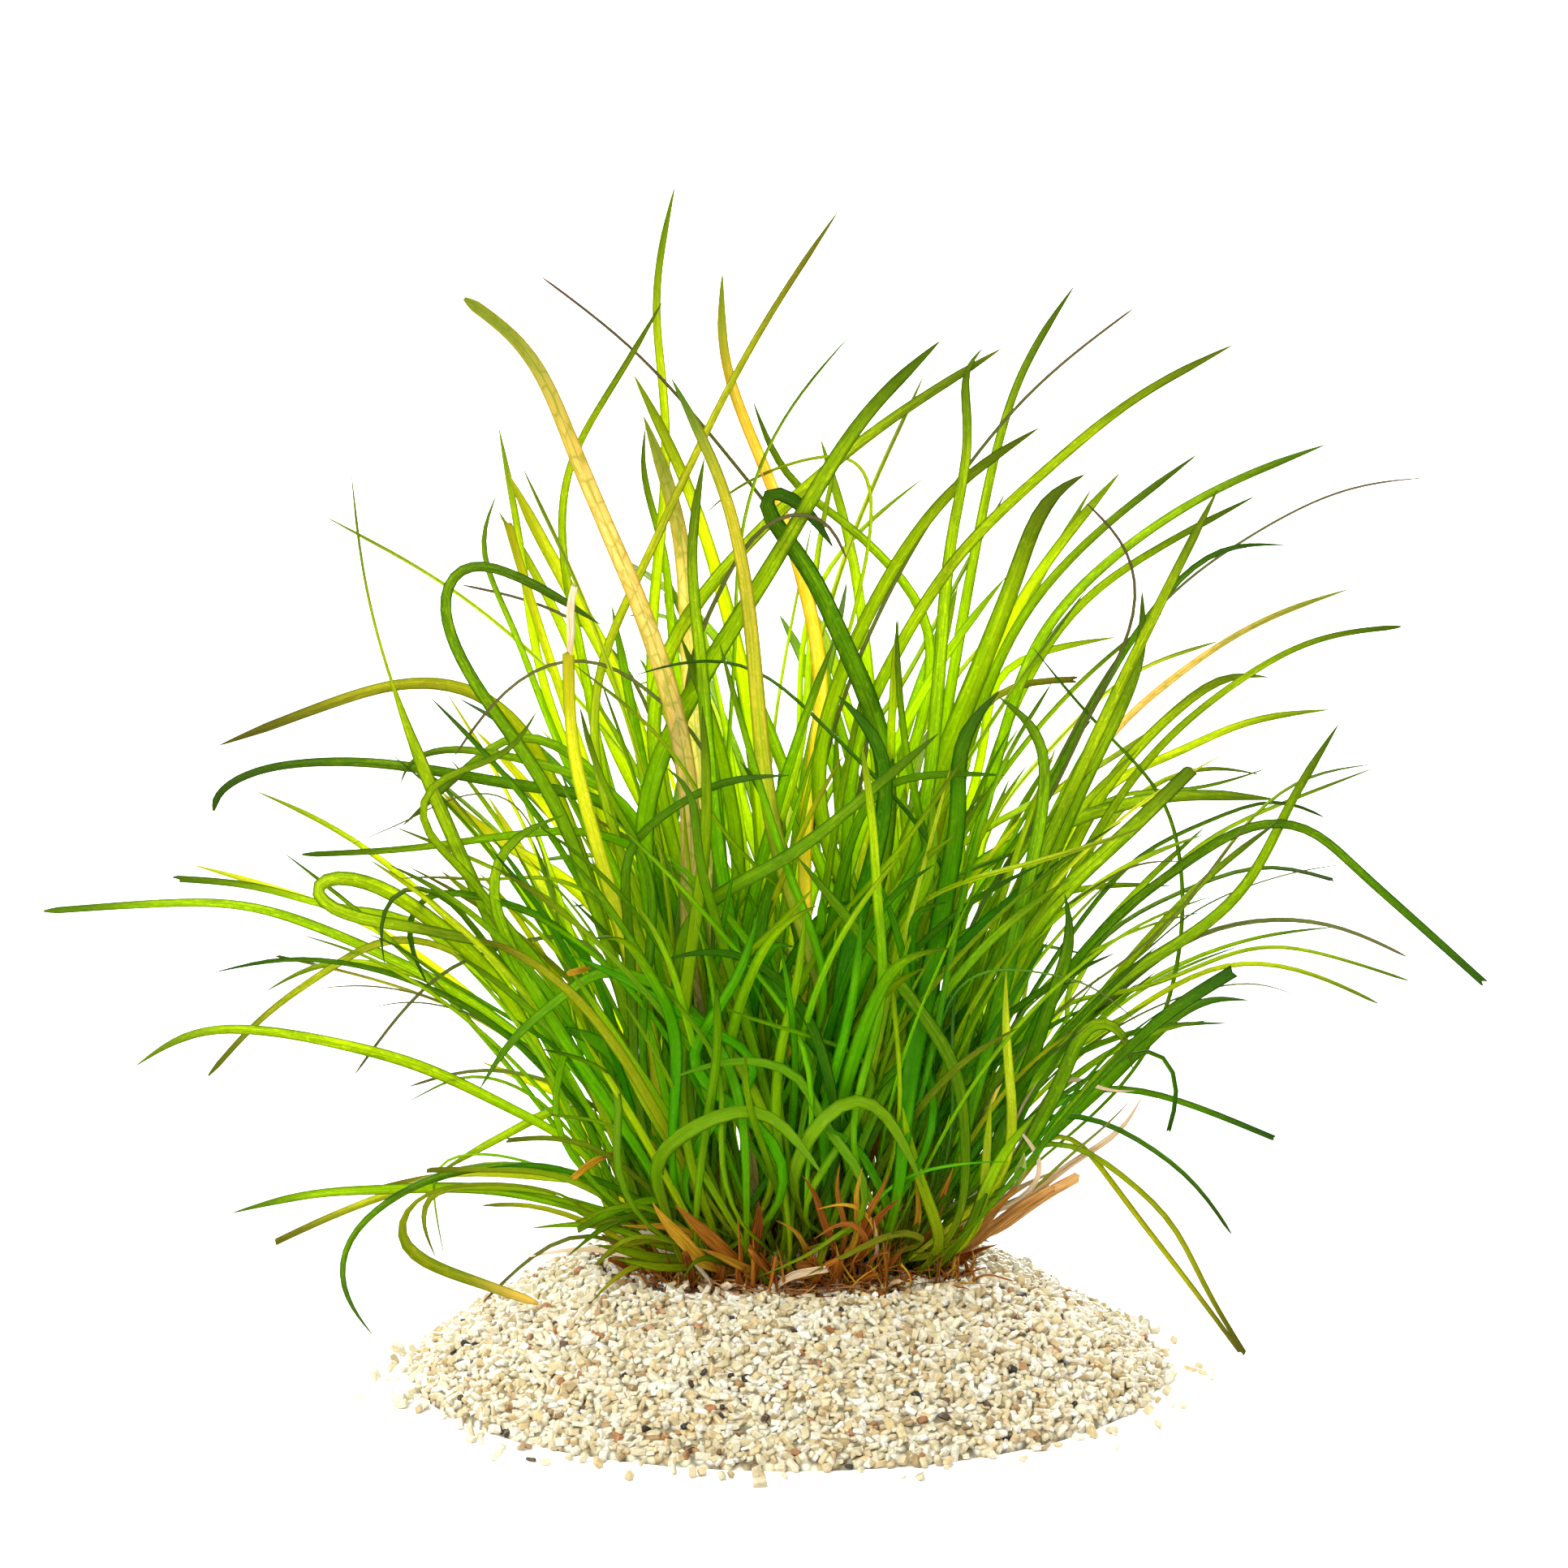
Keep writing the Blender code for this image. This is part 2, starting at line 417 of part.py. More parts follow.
def blade_widths(line, width, cut):
    """Returns the blade's width at each point from foot to tip."""
    steps = np.linalg.norm(np.diff(line, axis=0), axis=1)
    share = np.concatenate(((0.0,), np.cumsum(steps))) / steps.sum()
    swell = FOOT_SHARE + (1.0 - FOOT_SHARE) * np.clip(share / SWELL_UNTIL, 0.0, 1.0)
    narrow_from = CUT_NARROW_FROM if cut else NARROW_FROM
    end = CUT_SHARE if cut else POINT_SHARE
    fade = np.clip((share - narrow_from) / (1.0 - narrow_from), 0.0, 1.0)
    return width * swell * (1.0 - (1.0 - end) * fade ** NARROW_POWER)


def heap_height(x, y):
    """Returns the height of the heap's surface over a point of the floor."""
    angle = math.atan2(y, x)
    radius = math.hypot(x, y)
    reaches = []
    heights = []
    for half_width, half_depth, height in HEAP_RINGS[-3::-1]:
        reach = 1.0 / math.hypot(math.cos(angle) / half_width, math.sin(angle) / half_depth)
        reaches.append(reach)
        heights.append(height)
    return float(np.interp(radius, reaches, heights, right=0.0))


def crown_places():
    """Returns where the crowns stand, spread as the seeds of a flower head are."""
    half_width = FOOT_HALF_WIDTH - CROWN_MARGIN
    half_depth = FOOT_HALF_DEPTH - CROWN_MARGIN
    places = []
    for i in range(CROWNS):
        out = math.sqrt((i + CROWN_FIRST) / CROWNS)
        turn = i * GOLDEN_ANGLE + CROWN_TURN
        places.append((out * half_width * math.cos(turn), out * half_depth * math.sin(turn)))
    return np.array(places)


def wanted_foot(blade):
    """Returns where a blade would leave the root ball, from its lowest seen point."""
    across, up = blade.route[-1]
    low = min(1.0, max(0.0, 1.0 - (up - FOOT_SHARE_FROM) / FOOT_SHARE_OVER))
    share = FOOT_SHARE_HIGH + FOOT_SHARE_ADDED * low
    foot = np.array((across * share, blade.rank * FOOT_HALF_DEPTH))
    reach = math.hypot(foot[0] / FOOT_HALF_WIDTH, foot[1] / FOOT_HALF_DEPTH)
    return foot / max(1.0, reach)


def push_off(foot, other, room):
    """Returns the step that takes a foot half of what it lacks away from another place."""
    away = foot - other
    gap = float(np.linalg.norm(away))
    if gap >= room:
        return np.zeros(2)
    way = away / gap if gap > 0.01 else np.array((1.0, 0.0))
    return way * (room - gap) * 0.5


def place_feet(wanted, crowns):
    """Moves the feet of the outer leaves apart from the crowns and from each other."""
    feet = wanted.copy()
    for _ in range(FOOT_ROUNDS):
        for i, foot in enumerate(feet):
            for crown in crowns:
                foot += push_off(foot, crown, CROWN_RADIUS + FOOT_FROM_CROWN)
            for j in range(len(feet)):
                if j != i:
                    foot += push_off(foot, feet[j], FOOT_FROM_FOOT)
            reach = math.hypot(foot[0] / (FOOT_HALF_WIDTH + FOOT_MARGIN),
                               foot[1] / (FOOT_HALF_DEPTH + FOOT_MARGIN))
            foot /= max(1.0, reach)
    return feet


def seen_leaf(blade, foot, home):
    """Makes a leaf from a blade's route and the place of its foot."""
    foot_across, foot_up = sight(np.array((foot[0], foot[1], FOOT_LEVEL)))
    last_across, last_up = blade.route[-1]
    low = []
    if last_up > foot_up + BEND_ABOVE:
        low = [(foot_across + BEND_ACROSS * (last_across - foot_across),
                foot_up + BEND_RISE * (last_up - foot_up))]
    flat = np.array([(foot_across, foot_up)] + low + list(blade.route[::-1]), dtype=float)
    steps = np.linalg.norm(np.diff(flat, axis=0), axis=1)
    share = np.concatenate(((0.0,), np.cumsum(steps))) / steps.sum()
    tip_y = blade.rank * (TIP_SPREAD + TIP_SPREAD_RISE * blade.route[0][1])
    ys = foot[1] + (tip_y - foot[1]) * share ** LEAN_POWER
    curve = smooth_curve(np.column_stack((flat, ys)))
    steps = np.diff(curve, axis=0)
    ways = unit(steps)
    bend = np.arccos(np.clip((ways[1:] * ways[:-1]).sum(axis=1), -1.0, 1.0)).sum()
    length = np.linalg.norm(steps, axis=1).sum()
    count = int(round(SECTIONS_FIRST + length / SECTION_LENGTH + bend / SECTION_BEND))
    count = min(max(count, FEWEST_SECTIONS), MOST_SECTIONS)
    points = even_points(curve, count)
    line = np.array([lift(across, up, depth_for(up, y)) for across, up, y in points])
    lowest_seen = np.linalg.norm(curve[:, :2] - flat[-len(blade.route)], axis=1).argmin()
    hidden_height = curve[:lowest_seen, 1].max(initial=0.0)
    hidden = sum(1 for point in points[:count // 2] if point[1] < hidden_height)
    true_width = max(LEAST_WIDTH, min(WIDEST, blade.width * WIDTH_ALLOWANCE))
    seen = min(SEEN_RANGE[1], max(SEEN_RANGE[0], blade.width / true_width))
    return Leaf(line, blade_widths(line, true_width, blade.cut), blade.tone, home, seen, hidden)


def free_leaf(crown, home, rng):
    """Makes a leaf of a rosette where the front view doesn't show which way it goes."""
    side = 1.0 if rng.uniform(*FREE_BACK_RANGE) + crown[1] > 0 else -1.0
    heading = side * math.pi / 2 + rng.normal(0.0, FREE_HEADING_SPREAD)
    front = max(0.0, -math.sin(heading))
    length = rng.uniform(*FREE_LENGTHS) * (1.0 - FREE_FRONT_SHORTER * front)
    start = math.radians(rng.uniform(*FREE_START_LEANS))
    end = math.radians(rng.uniform(*FREE_END_LEANS) * (1.0 - FREE_FRONT_STEEPER * front))
    count = FEWEST_SECTIONS if length < FREE_LONG else FEWEST_SECTIONS + 1
    tilts = start + (end - start) * np.linspace(0.0, 1.0, count - 1) ** FREE_BEND_POWER
    sway = rng.normal(0.0, FREE_SWAY, count - 1).cumsum()
    step = length / (count - 1)
    points = [np.array((crown[0], crown[1], FOOT_LEVEL + CROWN_UNDERSIDE))]
    for tilt, swing in zip(tilts, sway):
        turn = heading + swing
        level = np.array((math.cos(turn), math.sin(turn), 0.0))
        direction = level * math.sin(tilt) + np.array((0.0, 0.0, math.cos(tilt)))
        points.append(points[-1] + step * direction)
    line = np.array(points)
    tone = FREE_TONES[int(rng.integers(len(FREE_TONES)))]
    leaf = Leaf(line, blade_widths(line, rng.uniform(*FREE_WIDTHS), False), tone, home)
    leaf.turn = rng.uniform(-FREE_TURN, FREE_TURN)
    return leaf


def grow_rosettes(crowns, rng):
    """Returns the leaves of every crown, the seen ones first."""
    rosettes = [[] for _ in range(CROWNS)]
    for blade in ROSETTE_LEAVES:
        foot = wanted_foot(blade)
        order = np.argsort(np.linalg.norm(crowns - foot, axis=1))
        home = next(int(i) for i in order if len(rosettes[int(i)]) < LEAVES_PER_CROWN)
        rosettes[home].append(seen_leaf(blade, crowns[home], home))
    for home, crown in enumerate(crowns):
        while len(rosettes[home]) < LEAVES_PER_CROWN:
            rosettes[home].append(free_leaf(crown, home, rng))
    return rosettes


def crown_mesh(place):
    """Returns a bmesh of one crown, a short cone of twenty faces with a flat underside."""
    bm = bmesh.new()
    bmesh.ops.create_icosphere(bm, subdivisions=1, radius=CROWN_RADIUS)
    centre = Vector((place[0], place[1], FOOT_LEVEL + CROWN_UNDERSIDE))
    for vertex in bm.verts:
        share = SHOULDER_SHARE if vertex.co.z > 0 else WAIST_SHARE
        vertex.co.x *= share
        vertex.co.y *= share
        vertex.co.z = max(vertex.co.z, -CROWN_UNDERSIDE)
        vertex.co += centre
    bm.normal_update()
    return bm


def choose_faces(crown, leaves):
    """Roots each leaf of a rosette in the crown's face that looks most its way.

    A collar is added to the leaf just off that face, where it turns from the face's way to its own.
    """
    bm = crown_mesh(crown)
    centre = np.mean([vertex.co for vertex in bm.verts], axis=0)
    faces = [face for face in bm.faces if face.normal.z > FACE_LEAST_TILT]
    looks = np.array([face.normal for face in faces])
    directions = np.array([leaf.line[2] - centre for leaf in leaves])
    directions[:, 2] *= FACE_FLATTENED
    fit = unit(directions) @ looks.T
    for _ in leaves:
        row, column = np.unravel_index(int(np.argmax(fit)), fit.shape)
        face = faces[int(column)]
        corners = np.array([vertex.co for vertex in face.verts])
        root = Root(face.index, corners.mean(axis=0), np.array(face.normal), corners)
        leaf = leaves[row]
        way = unit(root.normal + unit(leaf.line[1] - root.centre) + COLLAR_LIFT)
        collar = root.centre + way * COLLAR_RISE
        leaf.line = np.vstack((root.centre, collar, leaf.line[1:]))
        leaf.widths = np.concatenate((leaf.widths[:1], leaf.widths))
        leaf.hidden += 1
        leaf.root = root
        fit[row, :] = -9.0
        fit[:, column] = -9.0
    bm.free()


def closest(p, u, q, v):
    """Returns the shares along two sets of short pieces where they come closest, and the step."""
    w = p - q
    a = (u * u).sum(axis=1) + 1e-9
    b = (u * v).sum(axis=1)
    c = (v * v).sum(axis=1) + 1e-9
    d = (u * w).sum(axis=1)
    e = (v * w).sum(axis=1)
    s = np.clip((b * e - c * d) / np.maximum(a * c - b * b, 1e-6), 0.0, 1.0)
    t = np.clip((b * s + e) / c, 0.0, 1.0)
    s = np.clip((b * t - d) / a, 0.0, 1.0)
    return s, t, (p + u * s[:, None]) - (q + v * t[:, None])


class Settling:
    """Lets the leaves bend aside, so that none runs through another.

    A leaf drawn from the front slides along the line of sight, which leaves its look from the
    front as it was. The others give way to any side.
    """

    def __init__(self, leaves, crowns):
        self.leaves = leaves
        self.points = np.vstack([leaf.line for leaf in leaves])
        self.reach = 0.5 * np.concatenate([leaf.widths for leaf in leaves])
        counts = [len(leaf.line) for leaf in leaves]
        self.starts = np.concatenate(((0,), np.cumsum(counts)))
        owner = np.repeat(np.arange(len(leaves)), counts)
        self.place = np.concatenate([np.arange(count) for count in counts])
        self.slack = np.full((len(self.points), 1), MOST_DRIFT)
        for leaf, start in zip(leaves, self.starts):
            if leaf.root:
                self.reach[start] = CROWN_FACE_REACH
                self.slack[start + 1] = COLLAR_DRIFT
        self.seen = np.concatenate([np.arange(count) >= (leaf.hidden if leaf.seen else count)
                                    for leaf, count in zip(leaves, counts)])
        self.start = self.points.copy()
        self.head = np.flatnonzero(owner[1:] == owner[:-1])
        self.owner = owner[self.head]
        self.home = np.array([leaves[i].home for i in self.owner])
        self.crowns = crowns
        self.order = np.arange(len(leaves)) % 2 * 2.0 - 1.0
        self.pairs = None

    def find_pairs(self):
        """Lists the pieces of different leaves that are near each other."""
        p = self.points[self.head]
        q = self.points[self.head + 1]
        middle = (p + q) / 2
        half = np.linalg.norm(q - p, axis=1) / 2 + self.reach[self.head]
        first = []
        second = []
        for i in range(len(middle)):
            others = np.arange(i + 1, len(middle))
            others = others[self.owner[i + 1:] != self.owner[i]]
            gaps = np.linalg.norm(middle[others] - middle[i], axis=1)
            near = gaps < half[others] + half[i] + PAIR_MARGIN
            first.append(np.full(int(near.sum()), i))
            second.append(others[near])
        first = np.concatenate(first)
        second = np.concatenate(second)
        same = (self.home[first] == self.home[second]) & (self.home[first] >= 0)
        low = self.place[self.head[first]] + self.place[self.head[second]] <= 1
        keep = ~(same & low)
        self.pairs = first[keep], second[keep]

    def shove(self):
        """Returns how far each point should move, and the worst overlap left."""
        first, second = self.pairs
        i, j = self.head[first], self.head[second]
        s, t, apart = closest(self.points[i], self.points[i + 1] - self.points[i],
                              self.points[j], self.points[j + 1] - self.points[j])
        gap = np.linalg.norm(apart, axis=1)
        reach_i = self.reach[i] * (1 - s) + self.reach[i + 1] * s
        reach_j = self.reach[j] * (1 - t) + self.reach[j + 1] * t
        short = reach_i + reach_j + CLEAR_OF_BLADE - gap
        touching = short > 0
        i, j, s, t, short = i[touching], j[touching], s[touching], t[touching], short[touching]
        apart = apart[touching]
        gap = gap[touching]
        across = unit(np.cross(self.points[i + 1] - self.points[i],
                               self.points[j + 1] - self.points[j]))
        side = np.where((apart * across).sum(axis=1) < 0, -1.0, 1.0)
        way = np.where((gap > CROSSED)[:, None], unit(apart), across * side[:, None])
        moves = np.zeros_like(self.points)
        for node, share, sign in ((i, s, 1.0), (j, t, -1.0)):
            rays = unit(self.points[node] - EYE)
            along = (way * rays).sum(axis=1)
            tie = self.order[np.searchsorted(self.starts, node, side="right") - 1] * sign
            slide = rays * np.where(np.abs(along) > RAY_SLANT, np.sign(along), tie)[:, None]
            step = np.where(self.seen[node][:, None], slide, way) * (sign * 0.5 * short)[:, None]
            np.add.at(moves, node, step * (1 - share)[:, None])
            np.add.at(moves, node + 1, step * share[:, None])
        return moves, float(short.max()) if len(short) else 0.0

    def keep_clear(self, moves):
        """Adds the moves that keep points off the sand and away from other crowns."""
        for k in np.flatnonzero(self.place > 0):
            x, y, z = self.points[k]
            outside = math.hypot(x / DISH_HALVES[0], y / DISH_HALVES[1]) > 1.0
            floor = heap_height(x, y) if outside else ROOT_TOP
            low = floor + self.reach[k] + SAND_MARGIN - z
            if low > 0:
                moves[k] += -unit(self.points[k] - EYE) * low if self.seen[k] else (0.0, 0.0, low)
            if z < FOOT_LEVEL + CROWN_HEIGHT + self.reach[k]:
                away = self.points[k, :2] - self.crowns
                gaps = np.linalg.norm(away, axis=1)
                near = int(np.argmin(gaps))
                short = CROWN_RADIUS + self.reach[k] + CROWN_CLEAR - gaps[near]
                if short > 0:
                    moves[k, :2] += away[near] / max(gaps[near], 0.01) * short

    def spread(self, moves):
        """Shares each move out along its leaf, so that it bends and doesn't kink."""
        for start, end in zip(self.starts[:-1], self.starts[1:]):
            part = moves[start:end]
            for _ in range(2):
                padded = np.vstack((part[:1], part, part[-1:]))
                part = 0.25 * padded[:-2] + 0.5 * padded[1:-1] + 0.25 * padded[2:]
            part[0] = 0.0
            moves[start:end] = part

    def run(self):
        """Settles the leaves and writes their lines back."""
        for turn in range(ROUNDS):
            if turn % PAIRS_EVERY == 0:
                self.find_pairs()
            moves, worst = self.shove()
            self.keep_clear(moves)
            self.spread(moves)
            self.points += PUSH * moves
            drift = self.points - self.start
            far = np.linalg.norm(drift, axis=1, keepdims=True)
            self.points = self.start + drift * np.minimum(1.0, self.slack / np.maximum(far, 0.01))
            if worst < SETTLED and turn % PAIRS_EVERY == 1:
                break
        for leaf, start, end in zip(self.leaves, self.starts[:-1], self.starts[1:]):
            leaf.line = self.points[start:end]


def leaf_frames(leaf, sign):
    """Returns the way along a leaf, across its face and to its keel, at each point."""
    line = leaf.line
    tangents = np.empty_like(line)
    tangents[1:-1] = unit(line[2:] - line[1:-1]) + unit(line[1:-1] - line[:-2])
    tangents[0] = line[1] - line[0]
    tangents[-1] = line[-1] - line[-2]
    tangents = unit(tangents)
    if leaf.seen is None:
        out = unit(np.array((line[-1][0] - line[0][0], line[-1][1] - line[0][1], 0.0)))
        level = np.array((-out[1], out[0], 0.0))
        sides = unit(level - tangents * (tangents @ level)[:, None])
        turns = leaf.turn * np.linspace(0.3, 1.0, len(line))
        lifted = np.cross(tangents, sides)
        sides = sides * np.cos(turns)[:, None] + lifted * np.sin(turns)[:, None]
        keels = np.cross(tangents, sides)
        keels *= 1.0 if keels[-1][2] < 0 else -1.0
    else:
        rays = unit(line - EYE)
        flat = unit(np.cross(tangents, rays))
        deep = unit(rays - tangents * (tangents * rays).sum(axis=1)[:, None])
        sides = flat * leaf.seen + deep * sign * math.sqrt(1.0 - leaf.seen ** 2)
        keels = np.cross(tangents, sides)
        keels *= 1.0 if (keels * rays).sum() > 0 else -1.0
    return tangents, sides, keels


def section(point, tangent, side, keel, width):
    """Returns the corners of a leaf's section, anticlockwise seen from its tip, the keel last."""
    left = point - side * width / 2
    right = point + side * width / 2
    bottom = point + keel * width * THICKNESS_SHARE
    facing = np.cross(left - right, bottom - right) @ tangent
    return (right, left, bottom) if facing > 0 else (left, right, bottom)


def leaf_rings(leaf, sign):
    """Returns the three corners of each section of a leaf that stands on its own."""
    tangents, sides, keels = leaf_frames(leaf, sign)
    return [section(*parts) for parts in zip(leaf.line, tangents, sides, keels, leaf.widths)]


def rooted_rings(leaf, sign):
    """Returns the corners of each section of a leaf that grows from a crown, the collar first.

    The first sections turn little by little from the crown's face to the leaf's own facing, and
    each lists its corners in the order of the face's.
    """
    tangents, sides, keels = leaf_frames(leaf, sign)
    settled = 2 if leaf.seen and leaf.hidden == 2 else 3
    way = leaf.root.normal
    spokes = [unit(leaf.root.corners[0] - leaf.root.centre)]
    for tangent in tangents[1:settled + 1]:
        spokes.append(carry(spokes[-1], way, tangent))
        way = tangent
    across = np.cross(tangents[settled], spokes[settled])
    angle = math.atan2(keels[settled] @ across, keels[settled] @ spokes[settled])
    third = 2.0 * math.pi / 3.0
    corner = round(angle / third)
    rest = angle - corner * third
    for i in range(2, settled):
        turn = corner * third + rest * i / settled
        across = np.cross(tangents[i], spokes[i])
        keels[i] = spokes[i] * math.cos(turn) + across * math.sin(turn)
        sides[i] = np.cross(tangents[i], keels[i])
    across = np.cross(tangents[1], spokes[1])
    turns = [k * third + rest / settled for k in range(3)]
    reach = COLLAR_SHARE * leaf.widths[1]
    rings = [[leaf.line[1] + reach * (spokes[1] * math.cos(t) + across * math.sin(t)) for t in turns]]
    for parts in list(zip(leaf.line, tangents, sides, keels, leaf.widths))[2:-1]:
        corners = section(*parts)
        rings.append([corners[(i - corner + 2) % 3] for i in range(3)])
    return rings


def extrude_leaf(bm, face, rings, tip):
    """Draws a three-sided face out along a leaf's sections and closes it at the tip."""
    corners = [Vector(vertex.co) for vertex in face.verts]
    fits = [sum((Vector(rings[0][(i + k) % 3]) - corners[i]).length for i in range(3))
            for k in range(3)]
    shift = int(np.argmin(fits))
    roles = [(i + shift) % 3 for i in range(3)]
    for ring in rings:
        before = [Vector(vertex.co) for vertex in face.verts]
        face = bmesh.ops.extrude_discrete_faces(bm, faces=[face])["faces"][0]
        order = [min(range(3), key=lambda i: (before[i] - vertex.co).length)
                 for vertex in face.verts]
        roles = [roles[i] for i in order]
        for vertex, role in zip(face.verts, roles):
            vertex.co = Vector(ring[role])
    face = bmesh.ops.extrude_discrete_faces(bm, faces=[face])["faces"][0]
    bmesh.ops.pointmerge(bm, verts=list(face.verts), merge_co=Vector(tip))


def leaf_mesh(leaf, sign):
    """Returns a bmesh of one leaf that stands on its own foot."""
    rings = leaf_rings(leaf, sign)
    bm = bmesh.new()
    bmesh.ops.create_circle(bm, cap_ends=True, segments=3, radius=1.0)
    bm.faces.ensure_lookup_table()
    foot = bm.faces[0]
    for vertex, corner in zip(foot.verts, rings[0]):
        vertex.co = Vector((corner[0], corner[1], FOOT_LEVEL))
    extrude_leaf(bm, foot, rings[1:-1], leaf.line[-1])
    bmesh.ops.holes_fill(bm, edges=[edge for edge in bm.edges if edge.is_boundary])
    return bm


def rosette_mesh(place, leaves):
    """Returns a bmesh of one crown with its leaves drawn out of its faces.

    Each leaf's faces carry the number of its tone, which is their material's.
    """
    bm = crown_mesh(place)
    bm.faces.ensure_lookup_table()
    starts = [bm.faces[leaf.root.number] for leaf in leaves]
    for number, (leaf, start) in enumerate(zip(leaves, starts)):
        before = set(bm.faces)
        extrude_leaf(bm, start, rooted_rings(leaf, number % 2 * 2 - 1), leaf.line[-1])
        for face in set(bm.faces) - before:
            face.material_index = list(TONES).index(leaf.tone)
    return bm


def ring_of_points(bm, half_width, half_depth, height, sides, rng, lumps):
    """Adds one ring of the heap or the root ball, a little uneven, and returns its corners."""
    ring = bmesh.ops.create_circle(bm, cap_ends=False, segments=sides, radius=1.0)["verts"]
    turns = np.linspace(0.0, 2.0 * math.pi, sides, endpoint=False)
    waves = np.zeros(sides)
    for k in LUMP_WAVES:
        waves += rng.normal(0.0, 0.5 / k) * np.sin(k * turns + rng.uniform(0.0, 2.0 * math.pi))
    for vertex, wave in zip(ring, waves):
        swell = 1.0 - abs(lumps) / half_width + lumps * wave / half_width
        vertex.co = Vector((vertex.co.x * half_width * swell,
                            vertex.co.y * half_depth * swell, height))
    return ring


def lathe_mesh(rings, sides, lumps, rng):
    """Returns a closed bmesh through a stack of rings, flat below and flat on top.

    Only the rings of the open slope are uneven, not the two at the edge and the three of the dish.
    """
    bm = bmesh.new()
    stack = []
    for number, (half_width, half_depth, height) in enumerate(rings):
        lumpy = lumps if 1 < number < len(rings) - 3 else 0.0
        stack.append(ring_of_points(bm, half_width, half_depth, height, sides, rng, lumpy))
    for lower, upper in zip(stack[:-1], stack[1:]):
        for i in range(sides):
            j = (i + 1) % sides
            bm.faces.new((lower[i], lower[j], upper[j], upper[i]))
    bmesh.ops.holes_fill(bm, edges=[edge for edge in bm.edges if edge.is_boundary], sides=sides)
    bmesh.ops.recalc_face_normals(bm, faces=bm.faces[:])
    return bm


def finish_mesh(bm, name):
    """Turns a bmesh in millimetres into a mesh in metres, all triangles, facing out."""
    bmesh.ops.triangulate(bm, faces=bm.faces[:])
    bmesh.ops.recalc_face_normals(bm, faces=bm.faces[:])
    for vertex in bm.verts:
        vertex.co *= MM
    mesh = bpy.data.meshes.new(name)
    bm.to_mesh(mesh)
    bm.free()
    return mesh


def plain_material(name, colour, roughness):
    """Returns a material of one colour."""
    material = bpy.data.materials.new(name)
    material.use_nodes = True
    shader = material.node_tree.nodes["Principled BSDF"]
    shader.inputs["Base Color"].default_value = (*colour, 1.0)
    shader.inputs["Roughness"].default_value = roughness
    shader.inputs["Metallic"].default_value = 0.0
    return material


def add_piece(name, bm, *looks):
    """Adds one finished piece to the scene, with materials of its own."""
    mesh = finish_mesh(bm, name)
    for number, (colour, roughness) in enumerate(looks):
        mesh.materials.append(plain_material(f"{name}_{number}", colour, roughness))
    piece = bpy.data.objects.new(name, mesh)
    bpy.context.collection.objects.link(piece)
    return piece


def build_ground(rng):
    """Adds the heap of sand and the root ball in its top."""
    sand = lathe_mesh(HEAP_RINGS, HEAP_SIDES, HEAP_LUMPS, rng)
    add_piece("sand_mound", sand, SAND_LOOK)
    roots = lathe_mesh(ROOT_RINGS, ROOT_SIDES, 0.0, rng)
    add_piece("root_ball", roots, ROOT_LOOK)


def build_tuft(rng):
    """Adds the plantlets and the outer leaves, settled clear of each other."""
    crowns = crown_places()
    rosettes = grow_rosettes(crowns, rng)
    for crown, leaves in zip(crowns, rosettes):
        choose_faces(crown, leaves)
    feet = place_feet(np.array([wanted_foot(blade) for blade in OUTER_LEAVES]), crowns)
    outer = [seen_leaf(blade, foot, -1) for blade, foot in zip(OUTER_LEAVES, feet)]
    Settling(outer + [leaf for leaves in rosettes for leaf in leaves], crowns).run()
    for number, (crown, leaves) in enumerate(zip(crowns, rosettes), start=1):
        add_piece(f"plantlet_{number:02d}", rosette_mesh(crown, leaves), *TONES.values())
    for number, leaf in enumerate(outer, start=1):
        add_piece(f"leaf_{number:02d}", leaf_mesh(leaf, number % 2 * 2 - 1), TONES[leaf.tone])


def main():
    """Clears the scene and builds the tuft."""
    for old in list(bpy.data.objects):
        bpy.data.objects.remove(old, do_unlink=True)
    rng = np.random.default_rng(SEED)
    build_ground(rng)
    build_tuft(rng)


main()
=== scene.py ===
"""The looks of a tuft of red helanthium tenellum that stands in a heap of quartz sand.

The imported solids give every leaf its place: each blade is read back from its solid and made anew,
thin, folded along its midrib and tapered. The heap keeps its solid and is covered with grains, and
the root ball is covered with fibres and old sheaths. Lengths are in millimetres until a mesh is
finished, which writes it in metres.
"""

import json
import logging
import math
from collections.abc import Iterable, Sequence
from dataclasses import dataclass, field
from enum import Enum

import bmesh
import bpy
import numpy as np
from mathutils import Matrix, Vector, noise
from mathutils.bvhtree import BVHTree

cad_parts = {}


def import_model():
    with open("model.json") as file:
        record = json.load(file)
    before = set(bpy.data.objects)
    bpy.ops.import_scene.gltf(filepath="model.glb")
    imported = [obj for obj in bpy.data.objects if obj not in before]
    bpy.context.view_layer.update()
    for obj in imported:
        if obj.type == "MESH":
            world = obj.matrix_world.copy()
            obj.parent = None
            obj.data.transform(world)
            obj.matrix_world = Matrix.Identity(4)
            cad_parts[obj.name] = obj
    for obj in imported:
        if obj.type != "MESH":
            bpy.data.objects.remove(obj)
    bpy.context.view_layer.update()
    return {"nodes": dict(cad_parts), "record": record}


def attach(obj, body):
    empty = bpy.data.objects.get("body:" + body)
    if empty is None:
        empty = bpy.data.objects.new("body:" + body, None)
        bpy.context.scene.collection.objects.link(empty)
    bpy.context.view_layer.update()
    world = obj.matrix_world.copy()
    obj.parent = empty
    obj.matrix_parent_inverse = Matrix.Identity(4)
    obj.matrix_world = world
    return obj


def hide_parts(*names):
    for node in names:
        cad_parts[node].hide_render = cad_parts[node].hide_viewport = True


LOG = logging.getLogger("tuft")
SEED = 7
MM = 0.001
UP_AXIS = Vector((0.0, 0.0, 1.0))
